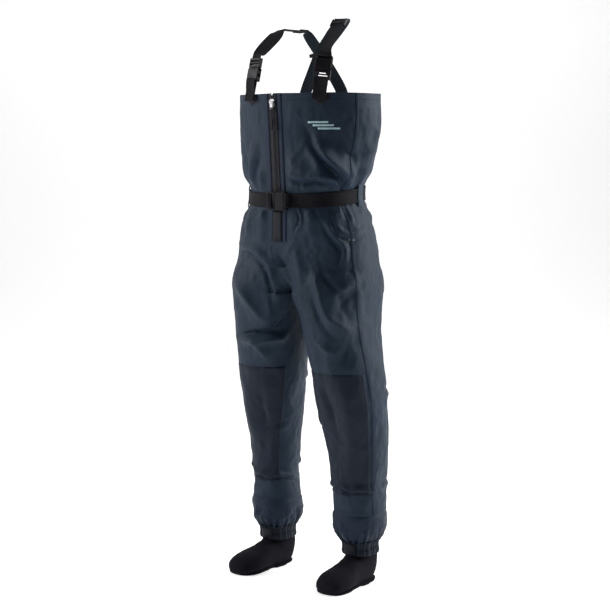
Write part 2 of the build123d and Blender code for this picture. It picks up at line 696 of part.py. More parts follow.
def suspenders():
    for side in (RIGHT, LEFT):
        name = side_name(side)
        strap_anchor(side)
        save(name + "_tab_loop", tab_loop(side))
        frame = tab_frame(side)
        if side == RIGHT:
            place = frame.location * Pos(0, BUCKLE_RISE, 0)
        else:
            place = frame.location * Pos(0, BUCKLE_RISE + CLIP_END, 0) * Rot(0, 0, 180)
        housing, clip, prongs = release_buckle(BUCKLE_WIDTH, WEB)
        save(name + "_buckle_housing", place * housing)
        save(name + "_buckle_clip", place * clip)
        save(name + "_prong_outer", place * prongs[0])
        save(name + "_prong_inner", place * prongs[1])
        stations = right_front_stations() if side == RIGHT else left_front_stations()
        save(name + "_front_strap", ribbon(stations, WEB, WEB_THICK, straight=len(stations) - 2))
        save(name + "_strap_slider", run_frame(side).location * tri_glide(WEB))
        save(name + "_back_strap", ribbon(back_stations(side), WEB, WEB_THICK))
    frame = strap_frame(CROSS_POINT, Vector(0, -0.28, 0.96), CROSS_OUT)
    keeper = Box(66, 9, 15.5) - Box(61, 10, 11.5)
    save("strap_cross_keeper", frame.location * keeper)


def back_anchors():
    """The patches that sew the back straps to the outside of the rim."""
    zones = []
    for x in (-91.0, 53.0):
        zones.append(block((x - 22, x + 22), (0, 400), (RIM_Z - 40, RIM_Z - 6)))
    sleeve = layer(TORSO[-2:], 7.6, 9.0)
    patches = []
    for zone in zones:
        patches += list((sleeve & zone).solids())
    save("back_strap_anchors", Compound(children=patches))


# ---------------------------------------------------------------- waist belt
def belt_slab(half):
    slab = Rot(BELT_TILT, 0, 0) * Box(800, 800, 2 * half)
    return Pos(0, BELT_MID_Y, BELT_MID_Z) * slab


def belt_frame():
    z = BELT_MID_Z + (front_edge_y(BELT_MID_Z) - BELT_MID_Y) * tan(radians(BELT_TILT))
    plane = surface_plane(BELT_BUCKLE_X, z, BELT_BUCKLE_OFF)
    return Plane(plane.origin, x_dir=plane.y_dir, z_dir=plane.z_dir)


BELT_GAP = (-52.0, 2.0)     # the buckle fills the band's gap between these X
LOOP_FLOOR = BELT_OFF + WEB_THICK + 0.3 - BELT_BUCKLE_OFF
LOOP_PLY = 1.9
HOUSING_LOOP = [(-9, LOOP_FLOOR), (7.6, LOOP_FLOOR), (7.6, 8.6), (-3, 8.6), (-9, 3), (-9, 1.2), (-3, 6.8),
                (5.6, 6.8), (5.6, LOOP_FLOOR + LOOP_PLY), (-9, LOOP_FLOOR + LOOP_PLY)]
CLIP_LOOP = [(47.5, LOOP_FLOOR), (70, LOOP_FLOOR), (76, LOOP_FLOOR), (76, LOOP_FLOOR + LOOP_PLY),
             (49.4, LOOP_FLOOR + LOOP_PLY), (49.4, 6.8), (55.5, 6.8), (55.5, 8.6), (47.5, 8.6)]


def webbing_loop(outline):
    """A turn of belt webbing through a buckle's slot, from its outline along the belt and outward."""
    return extrude(Plane.YZ * make_face(Polyline(*outline, close=True)), BELT_WEB / 2 - 0.5, both=True)


def belt():
    """The band round the waist, its buckle, and the turns of webbing that hold the buckle."""
    band = layer(TORSO, BELT_OFF, BELT_OFF + WEB_THICK) & belt_slab(BELT_WEB / 2)
    band -= block(BELT_GAP, (-400, 0), (0, RIM_Z))
    place = belt_frame().location
    housing_loop = place * webbing_loop(HOUSING_LOOP)
    save("belt_webbing", Compound(children=list(band.solids()) + [housing_loop]))
    housing, clip, prongs = release_buckle(BELT_BUCKLE_WIDTH, BELT_WEB)
    save("belt_buckle_housing", place * housing)
    save("belt_buckle_clip", place * clip)
    save("belt_prong_lower", place * prongs[0])
    save("belt_prong_upper", place * prongs[1])
    save("belt_clip_loop", place * webbing_loop(CLIP_LOOP))


LOOP_HALF_TALL = 38.0
LOOP_WIDE = 24.0
LOOP_THICK = 1.4
LOOP_HEM = 4.0              # sewn down at each end
LOOP_PLACES = [(-150.0, -62.0), (168.0, 14.0), (0.0, 108.0)]


def belt_loops():
    """Fabric loops over the belt at both sides and the middle of the back."""
    over = layer(TORSO[5:9], PLY_GAP, LOOP_OFF + LOOP_THICK)
    under = layer(TORSO[5:9], PLY_GAP - 1.0, LOOP_OFF)
    loops = []
    for x, y in LOOP_PLACES:
        along = Vector(x, y, 0).normalized()
        plane = Plane((x, y, BELT_MID_Z), x_dir=Vector(-along.Y, along.X, 0), z_dir=(0, 0, 1))
        slant = BELT_MID_Z + (y - BELT_MID_Y) * tan(radians(BELT_TILT))
        column = Pos(0, 0, slant - BELT_MID_Z) * Box(LOOP_WIDE, 60, 2 * LOOP_HALF_TALL)
        hollow = Pos(0, 0, slant - BELT_MID_Z) * Box(LOOP_WIDE + 2, 70, 2 * (LOOP_HALF_TALL - LOOP_HEM))
        strip = over & (plane.location * column)
        loops += list((strip - (under & (plane.location * hollow))).solids())
    save("belt_loops", Compound(children=loops))


# ---------------------------------------------------------------- chest mark
MARK_ROWS = 3
MARK_START = (92.0, 1298.0)
MARK_STEP = (13.0, -8.5)
MARK_BAR = (52.0, 5.0)
MARK_THICK = 0.5


def chest_mark():
    """Three staggered bars of printed trim on the wearer's left chest."""
    sleeve = layer(TORSO, PLY_GAP, PLY_GAP + MARK_THICK)
    bars = []
    for row in range(MARK_ROWS):
        left, bottom = (start + row * step for start, step in zip(MARK_START, MARK_STEP))
        across, up = (left, left + MARK_BAR[0]), (bottom, bottom + MARK_BAR[1])
        bars += list((sleeve & block(across, (-400, 0), up)).solids())
    save("chest_mark", Compound(children=bars))


def save(name, shape):
    """Write one node, moved into the part's own frame."""
    export_step(Pos(*ORIGIN_MOVE) * as_part(shape), "parts/" + name + ".step")


def main():
    os.makedirs("parts", exist_ok=True)
    torso_panels()
    leg_panels()
    knee_patches()
    rim_hem()
    seam_tapes()
    socks()
    gravel_guards()
    cuff_tabs()
    zip_tapes_and_plackets()
    zip_teeth()
    zip_ends()
    zip_slider()
    zip_pull()
    suspenders()
    back_anchors()
    belt()
    belt_loops()
    chest_mark()


main()
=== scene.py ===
import json
import math

import bmesh
import bpy
import mathutils.noise
import numpy as np
from mathutils import Matrix, Vector

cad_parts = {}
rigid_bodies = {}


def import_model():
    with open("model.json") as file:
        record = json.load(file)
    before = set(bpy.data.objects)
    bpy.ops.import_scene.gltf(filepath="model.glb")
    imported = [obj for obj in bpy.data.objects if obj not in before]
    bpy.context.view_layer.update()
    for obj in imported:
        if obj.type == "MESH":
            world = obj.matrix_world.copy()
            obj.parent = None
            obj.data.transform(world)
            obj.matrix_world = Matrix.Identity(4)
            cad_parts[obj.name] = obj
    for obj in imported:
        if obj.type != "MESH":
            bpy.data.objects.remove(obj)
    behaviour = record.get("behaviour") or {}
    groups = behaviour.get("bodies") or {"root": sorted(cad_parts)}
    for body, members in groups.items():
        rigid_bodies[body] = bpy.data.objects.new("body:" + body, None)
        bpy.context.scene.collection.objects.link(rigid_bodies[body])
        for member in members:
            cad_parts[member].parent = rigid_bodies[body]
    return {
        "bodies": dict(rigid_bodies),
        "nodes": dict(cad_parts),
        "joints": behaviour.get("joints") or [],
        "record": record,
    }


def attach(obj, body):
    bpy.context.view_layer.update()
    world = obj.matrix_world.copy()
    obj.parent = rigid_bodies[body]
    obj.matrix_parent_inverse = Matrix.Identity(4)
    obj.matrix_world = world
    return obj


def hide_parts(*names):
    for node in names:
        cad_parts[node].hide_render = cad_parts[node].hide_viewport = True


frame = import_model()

# Chest waders, in metres, in the CAD frame: soles on Z = 0, the wearer faces -Y, the wearer's left
# is +X. The garment is drawn about the wearer; MOVE takes it into the frame.
MOVE = np.array([-0.0050, 0.0028, 0.0])
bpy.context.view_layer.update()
TWO_PI = 2 * math.pi
RIGHT, LEFT = -1, 1
WORDS = {RIGHT: "right", LEFT: "left"}
GARMENT = "garment"

# ---------------------------------------------------------------- camera, light and floor
CAMERA_AZIMUTH = math.radians(36.0)
CAMERA_AWAY = 3.95
CAMERA_HIGH = 1.225
AIM_HIGH = 0.787
ASIDE = -0.010
LENS = 82.3


def from_camera(right, near, high):
    """A place so far to the camera's right, towards it and up."""
    c, s = math.cos(CAMERA_AZIMUTH), math.sin(CAMERA_AZIMUTH)
    return (right * c + near * s, right * s - near * c, high)


def place_camera():
    eye = Vector(from_camera(ASIDE, CAMERA_AWAY, CAMERA_HIGH)) + Vector(MOVE)
    aim = Vector(from_camera(ASIDE, 0.0, AIM_HIGH)) + Vector(MOVE)
    data = bpy.data.cameras.new("camera")
    data.lens, data.sensor_width, data.sensor_height = LENS, 36.0, 36.0
    camera = bpy.data.objects.new("camera", data)
    camera.location = eye
    camera.rotation_euler = (aim - eye).to_track_quat("-Z", "Y").to_euler()
    bpy.context.scene.collection.objects.link(camera)
    bpy.context.scene.camera = camera


def area_light(name, place, aim_high, size, power):
    data = bpy.data.lights.new(name, "AREA")
    data.shape, data.size, data.size_y = "RECTANGLE", size[0], size[1]
    data.energy = power
    light = bpy.data.objects.new(name, data)
    light.location = place
    light.rotation_euler = (Vector((0, 0, aim_high)) - Vector(place)).to_track_quat("-Z", "Y").to_euler()
    bpy.context.scene.collection.objects.link(light)


def studio():
    world = bpy.data.worlds.new("studio")
    world.use_nodes = True
    background = world.node_tree.nodes["Background"]
    background.inputs["Color"].default_value = (1.0, 1.0, 1.0, 1)
    background.inputs["Strength"].default_value = 0.05
    bpy.context.scene.world = world
    bpy.context.scene.view_settings.view_transform = "Standard"
    area_light("left_box", from_camera(2.6, -0.4, 1.9), 0.85, (1.0, 2.6), 115)
    area_light("right_box", from_camera(-2.5, -0.1, 1.9), 0.85, (0.9, 2.4), 70)
    area_light("front_box", from_camera(0.9, 3.4, 3.1), 0.8, (1.8, 1.6), 10)
    area_light("top_box", from_camera(0.0, -0.4, 3.6), 0.5, (2.0, 2.0), 24)
    floor_mesh = bpy.data.meshes.new("floor")
    reach, rise, bend, radius, steps = 9.0, 7.0, 3.0, 2.0, 12
    rows = [(-reach, 0.0), (bend, 0.0)]
    for step in range(1, steps + 1):
        angle = math.pi / 2 * step / steps
        rows.append((bend + radius * math.sin(angle), radius - radius * math.cos(angle)))
    rows.append((bend + radius, rise))
    turn = Matrix.Rotation(CAMERA_AZIMUTH, 3, "Z")
    verts = [turn @ Vector((x, y, z)) for y, z in rows for x in (-reach, reach)]
    faces = [(2 * i, 2 * i + 1, 2 * i + 3, 2 * i + 2) for i in range(len(rows) - 1)]
    floor_mesh.from_pydata(verts, [], faces)
    floor = bpy.data.objects.new("floor", floor_mesh)
    for polygon in floor_mesh.polygons:
        polygon.use_smooth = True
    bpy.context.scene.collection.objects.link(floor)
    floor_mesh.materials.append(plain_floor())


# ---------------------------------------------------------------- materials
class Shader:
    """A new material, with short ways to add nodes. Underscores in a keyword stand for spaces."""

    def __init__(self, name, **values):
        self.material = bpy.data.materials.new(name)
        self.material.use_nodes = True
        self.nodes, self.links = self.material.node_tree.nodes, self.material.node_tree.links
        self.bsdf = self.nodes["Principled BSDF"]
        self.feed(self.bsdf, **values)

    def put(self, socket, value):
        if isinstance(value, bpy.types.NodeSocket):
            self.links.new(value, socket)
        else:
            socket.default_value = value

    def feed(self, node, **values):
        for name, value in values.items():
            self.put(node.inputs[name.replace("_", " ")], value)
        return node

    def add(self, kind, **values):
        return self.feed(self.nodes.new("ShaderNode" + kind), **values)

    def spot(self):
        return self.add("TexCoord").outputs["Object"]

    def weave_run(self):
        """How far across and along the weave a spot lies."""
        return self.add("SeparateXYZ", Vector=self.add("UVMap").outputs[0]).outputs

    def calc(self, kind, first, second=0.5):
        node = self.add("Math")
        node.operation = kind
        self.put(node.inputs[0], first)
        self.put(node.inputs[1], second)
        return node.outputs[0]

    def wave(self, run, pitch):
        return self.calc("SINE", self.calc("MULTIPLY", run, TWO_PI / pitch))

    def noise(self, vector, scale, detail=3.0, roughness=0.5):
        return self.add("TexNoise", Vector=vector, Scale=scale, Detail=detail,
                        Roughness=roughness).outputs["Fac"]

    def ramp(self, value, *stops):
        node = self.add("ValToRGB")
        for element, (place, colour) in zip(node.color_ramp.elements, stops):
            element.position, element.color = place, colour
        self.put(node.inputs[0], value)
        return node.outputs[0]

    def edges(self, radius):
        """The rounded normal at a hard edge, and a mask that is 1 on the edge."""
        rounded = self.add("Bevel", Radius=radius)
        rounded.samples = 4
        dot = self.add("VectorMath")
        dot.operation = "DOT_PRODUCT"
        self.put(dot.inputs[0], rounded.outputs[0])
        self.put(dot.inputs[1], self.add("NewGeometry").outputs["True Normal"])
        mask = self.add("MapRange", Value=dot.outputs["Value"], From_Min=0.995, From_Max=0.8)
        return rounded.outputs[0], mask.outputs[0]

    def bump(self, height, strength, distance, before=None):
        """Relief of the given depth in metres, over the normal of another relief if there is one."""
        node = self.add("Bump", Height=height, Strength=strength, Distance=distance)
        if before is not None:
            self.put(node.inputs["Normal"], before)
        self.put(self.bsdf.inputs["Normal"], node.outputs[0])
        return node.outputs[0]


def shade(colour, factor):
    return tuple(min(1.0, part * factor) for part in colour[:3]) + (1.0,)


def grey(value):
    return (value, value, value, 1.0)


def woven(name, colour, pitch=0.0011, sheen=0.0, rough=0.56, crinkle=0.5):
    """Coated woven cloth: fine crossed threads, a slow change of tone, and small crinkles."""
    cloth = Shader(name, Sheen_Weight=sheen, Sheen_Roughness=0.45, Sheen_Tint=(0.62, 0.78, 0.95, 1),
                   Specular_IOR_Level=0.14)
    spot = cloth.spot()
    tone = cloth.noise(spot, 5.0, 4.0, 0.55)
    mixed = cloth.calc("ADD", cloth.calc("MULTIPLY", tone, 0.75),
                       cloth.calc("MULTIPLY", cloth.noise(spot, 160.0, 2.0), 0.25))
    cloth.feed(cloth.bsdf,
               Base_Color=cloth.ramp(mixed, (0.3, shade(colour, 0.84)), (0.7, shade(colour, 1.16))),
               Roughness=cloth.ramp(tone, (0.3, grey(rough - 0.06)), (0.7, grey(rough + 0.06))))
    crinkles = cloth.bump(cloth.noise(spot, 38.0, 5.0, 0.6), crinkle, 0.0016)
    run = cloth.weave_run()
    threads = cloth.calc("MULTIPLY", cloth.wave(run[0], pitch), cloth.wave(run[1], pitch))
    cloth.bump(threads, 0.35, 0.00018, crinkles)
    return cloth.material


def webbing(name, colour, rib=0.0016, pick=0.0026):
    """Flat woven strap: ribs across its width and fine picks along it."""
    strap = Shader(name, Roughness=0.7, Specular_IOR_Level=0.12, Sheen_Weight=0.02, Sheen_Roughness=0.4)
    run = strap.weave_run()
    weave = strap.calc("ADD", strap.wave(run[0], rib), strap.calc("MULTIPLY", strap.wave(run[1], pick), 0.6))
    fuzz = strap.noise(strap.spot(), 300.0, 3.0)
    tone = strap.calc("ADD", strap.calc("MULTIPLY", weave, 0.14), fuzz)
    strap.feed(strap.bsdf,
               Base_Color=strap.ramp(tone, (0.25, shade(colour, 0.6)), (0.8, shade(colour, 1.5))))
    strap.bump(weave, 0.6, 0.00035)
    return strap.material


def neoprene(name, colour):
    """Foam rubber faced with a fine knit."""
    foam = Shader(name, Roughness=0.82, Specular_IOR_Level=0.1)
    spot = foam.spot()
    tone = foam.noise(spot, 9.0, 4.0, 0.6)
    foam.feed(foam.bsdf, Base_Color=foam.ramp(tone, (0.3, shade(colour, 0.75)), (0.72, shade(colour, 1.3))))
    lumps = foam.bump(foam.noise(spot, 30.0, 4.0), 0.25, 0.002)
    foam.bump(foam.add("TexVoronoi", Scale=700.0, Vector=spot).outputs["Distance"], 0.5, 0.0004, lumps)
    return foam.material


def moulded(name, colour, rough):
    """Injection-moulded plastic: a fine spark texture, soft corners and paler worn edges."""
    plastic = Shader(name, Specular_IOR_Level=0.16)
    spot = plastic.spot()
    normal, edge = plastic.edges(0.0006)
    scuffs = plastic.calc("MULTIPLY", edge, plastic.noise(spot, 240.0, 3.0))
    smudge = plastic.noise(spot, 60.0, 3.0)
    plastic.feed(plastic.bsdf,
                 Base_Color=plastic.ramp(scuffs, (0.15, shade(colour, 1.0)), (0.7, shade(colour, 2.2))),
                 Roughness=plastic.ramp(smudge, (0.3, grey(rough - 0.1)), (0.7, grey(rough + 0.12))))
    plastic.bump(plastic.noise(spot, 1400.0, 2.0), 0.2, 0.00015, normal)
    return plastic.material


def metal(name, colour, rough=0.3):
    """Bright cast metal, duller where it is worn."""
    bright = Shader(name, Metallic=1.0)
    spot = bright.spot()
    wear = bright.noise(spot, 220.0, 4.0, 0.65)
    bright.feed(bright.bsdf,
                Base_Color=bright.ramp(wear, (0.3, shade(colour, 0.72)), (0.7, shade(colour, 1.08))),
                Roughness=bright.ramp(wear, (0.3, grey(rough + 0.18)), (0.7, grey(rough))))
    bright.bump(bright.noise(spot, 500.0, 2.0), 0.12, 0.0002)
    return bright.material


def plain_floor():
    return Shader("floor", Base_Color=(0.9, 0.9, 0.9, 1), Roughness=0.75, Specular_IOR_Level=0.2,
                  Emission_Color=(1, 1, 1, 1), Emission_Strength=0.5).material


SHELL = woven("shell_cloth", (0.0118, 0.0220, 0.0385))
SHELL_BACK = woven("shell_cloth_back", (0.0125, 0.0235, 0.0405))
LINING = woven("shell_inside", (0.10, 0.11, 0.125), sheen=0.1)
KNEE = woven("knee_cloth", (0.0078, 0.0125, 0.0240), pitch=0.0016)
GUARD = woven("guard_cloth", (0.0100, 0.0180, 0.0340))
CUFF = woven("cuff_cloth", (0.0070, 0.0105, 0.0190), pitch=0.0016)
COATED = woven("coated_tape", (0.0065, 0.0065, 0.010), sheen=0.08, rough=0.48, crinkle=0.2)
SEAM = woven("seam_cloth", (0.0098, 0.0185, 0.0360), crinkle=0.3)
LOOP = woven("loop_cloth", (0.017, 0.034, 0.052), crinkle=0.3)
STITCH = woven("thread", (0.007, 0.012, 0.023), pitch=0.0004, crinkle=0.2)
BLACK_STITCH = woven("black_thread", (0.026, 0.026, 0.032), pitch=0.0004, crinkle=0.2)
WEB_BLACK = webbing("black_webbing", (0.0040, 0.0036, 0.0068))
WEB_TEAL = webbing("elastic_webbing", (0.0085, 0.015, 0.024), rib=0.0022)
SOCK = neoprene("sock_neoprene", (0.0042, 0.0036, 0.0068))
PLASTIC = moulded("buckle_plastic", (0.0040, 0.0038, 0.0062), rough=0.5)
SOCK_SEAM = neoprene("sock_seam", (0.007, 0.0062, 0.010))
CORD_BLACK = woven("pull_cord", (0.008, 0.008, 0.011), pitch=0.0008, sheen=0.1, rough=0.6)
TEETH = moulded("tooth_plastic", (0.008, 0.008, 0.011), rough=0.35)
SILVER = metal("slider_metal", (0.62, 0.62, 0.64))
MARK = woven("printed_mark", (0.34, 0.50, 0.53), rough=0.5, crinkle=0.15)
TAPE = woven("seam_tape", (0.16, 0.17, 0.18), rough=0.4, crinkle=0.1)


# ---------------------------------------------------------------- the garment's base form
# Heights and half sizes are in millimetres, as in the CAD.
# height, middle y, half width, reach to the back, how square in front and at the back
TORSO = [(828, 6, 222, 142, 2.45, 2.3), (875, 8, 220, 142, 2.45, 2.3), (950, 8, 208, 130, 2.5, 2.4),
         (1010, 8, 194, 118, 2.7, 2.4), (1040, 8, 182, 110, 2.6, 2.4), (1060, 8, 172, 105, 2.5, 2.4),
         (1120, 8, 166, 100, 2.4, 2.4), (1140, 8, 172, 98, 2.4, 2.4), (1165, 10, 188, 93, 2.3, 2.4),
         (1225, 12, 212, 88, 2.2, 2.4), (1285, 14, 220, 82, 2.2, 2.4), (1380, 16, 220, 80, 2.2, 2.8)]
# height, middle x, middle y, half width, reach to the front and to the back, how square inside
LEGS = {
    RIGHT: [(195, 147, 45, 67, 71, 75, 2.2), (275, 147, 40, 64, 68, 72, 2.2),
            (335, 145, 36, 67, 69, 73, 2.2),
            (415, 141, 28, 73, 74, 78, 2.2), (515, 135, 16, 81, 86, 90, 2.2),
            (615, 128, 8, 90, 100, 102, 2.2),
            (695, 123, 4, 96, 112, 116, 2.6), (775, 117, 4, 103, 124, 128, 3.4),
            (828, 111, 6, 111, 130, 138, 4.5)],
    LEFT: [(195, 149, 45, 71, 75, 79, 2.2), (275, 149, 40, 70, 74, 78, 2.2),
           (335, 149, 36, 75, 76, 80, 2.2),
           (415, 146, 28, 82, 82, 86, 2.2), (515, 139, 16, 93, 96, 100, 2.2),
           (615, 133, 8, 97, 106, 108, 2.2),
           (695, 125, 4, 99, 114, 118, 2.6), (775, 118, 4, 103, 124, 128, 3.4),
           (828, 111, 6, 111, 130, 138, 4.5)],
}
# height, how far the outer side is taken in
TRIM = {
    RIGHT: [(195, 0), (1230, 0), (1300, 7), (1380, 6)],
    LEFT: [(195, 0), (600, 2), (700, 13), (880, 14), (1000, 5), (1100, 2), (1200, 10), (1300, 4),
           (1380, 4)],
}
FORK_Z = (828.0, 900.0)
ZIP_X = -15.0
RIM_Z = 1380.0
ZIP_LOW = 985.0
SIDE_SEAM_Y = [(205, 15), (828, -50), (858, -55), (1380, -55)]
FRONT_COLUMNS, BACK_COLUMNS = 62, 74


def seam_y_at(z):
    return np.interp(z, *np.array(SIDE_SEAM_Y, float).T)


def smooth(low, high, value):
    share = np.clip((value - low) / (high - low), 0.0, 1.0)
    return share * share * (3 - 2 * share)


def curve(table, z):
    """All columns of a table at height z, smoothly between its rows."""
    rows = np.array(table, float)
    heights = rows[:, 0]
    slopes = np.gradient(rows[:, 1:], heights, axis=0)
    index = int(np.clip(np.searchsorted(heights, z) - 1, 0, len(heights) - 2))
    gap = heights[index + 1] - heights[index]
    s = min(1.0, max(0.0, (z - heights[index]) / gap))
    return ((2 * s**3 - 3 * s**2 + 1) * rows[index, 1:] + (s**3 - 2 * s**2 + s) * gap * slopes[index]
            + (3 * s**2 - 2 * s**3) * rows[index + 1, 1:] + (s**3 - s**2) * gap * slopes[index + 1])


def front_edge_y(z):
    return -148.0 + 24.0 * min(1.0, max(0.0, (1380.0 - z) / 320.0))


def garment_row(side, z):
    """One row of the garment on one side, from the front middle round the outside to the back
    middle, as X away from the wearer's middle and Y. Below the fork it is a closed ring."""
    start = end = middle = 0.0
    if z <= FORK_Z[0]:
        middle, y, wide, front, back, inner_n = curve(LEGS[side], z)
        front_n = back_n = 2.2
        start = end = middle - wide
    else:
        y, wide, back, front_n, back_n = curve(TORSO, z)
        front = y - front_edge_y(z)
        inner_n = front_n
        start = side * ZIP_X * smooth(900, 975, z) + 3.0 * smooth(ZIP_LOW - 4, ZIP_LOW, z)
    if FORK_Z[0] < z < FORK_Z[1]:
        rise = math.acos(1 - (z - FORK_Z[0]) / (FORK_Z[1] - FORK_Z[0])) / (math.pi / 2)
        inner_n = 4.5 + rise * (front_n - 4.5)
        front_n, back_n = 2.2 + rise * (front_n - 2.2), 2.2 + rise * (back_n - 2.2)
        share = (1 - math.sin(rise * math.pi / 2) ** inner_n) ** (1 / inner_n)
        wide, middle = wide / (1 + share), wide * share / (1 + share)
    limits = []
    for edge in (start, end):
        reach = min(1.0, abs(edge - middle) / wide)
        square = inner_n if edge < middle else front_n
        limits.append(math.acos(max(-1.0, min(1.0, math.copysign(reach ** (square / 2), edge - middle)))))
    turn = np.linspace(-limits[0], limits[1], 900)
    c, s = np.cos(turn), np.sin(turn)
    outer_n = np.where(s < 0, front_n, back_n)
    square = np.where(c < 0, inner_n, outer_n)
    across = middle + wide * np.sign(c) * np.abs(c) ** (2 / square)
    deep = y + np.where(s < 0, front, back) * np.sign(s) * np.abs(s) ** (2 / square)
    run = np.concatenate([[0], np.cumsum(np.hypot(np.diff(across), np.diff(deep)))])
    outside = np.where(c > 0.3)[0]
    seam = run[outside[np.argmin(np.abs(deep[outside] - seam_y_at(z)))]]
    places = np.concatenate([np.linspace(0, seam, FRONT_COLUMNS + 1),
                             np.linspace(seam, run[-1], BACK_COLUMNS + 1)[1:]])
    return np.interp(places, run, across), np.interp(places, run, deep)


def garment_heights():
    low, high = FORK_Z
    fork = [low + (high - low) * (1 - math.cos(math.pi / 2 * step / 14)) for step in range(1, 14)]
    return np.concatenate([np.arange(203, low, 5.0), [low], fork, np.arange(high, 1379, 5.0), [RIM_Z]])


def garment_grid(side, heights):
    rows = []
    for z in heights:
        across, deep = garment_row(side, z)
        trim = curve(TRIM[side], z)[0] * (across / across.max()).clip(0) ** 3
        rows.append(np.stack([side * (across - trim), deep, np.full_like(deep, z)], 1))
    return np.array(rows)


# ---------------------------------------------------------------- folds, in millimetres
# how far the heights below are scaled, in front and at the back
FOLD_DEPTH, BACK_FOLD_DEPTH = 1.7, 1.0
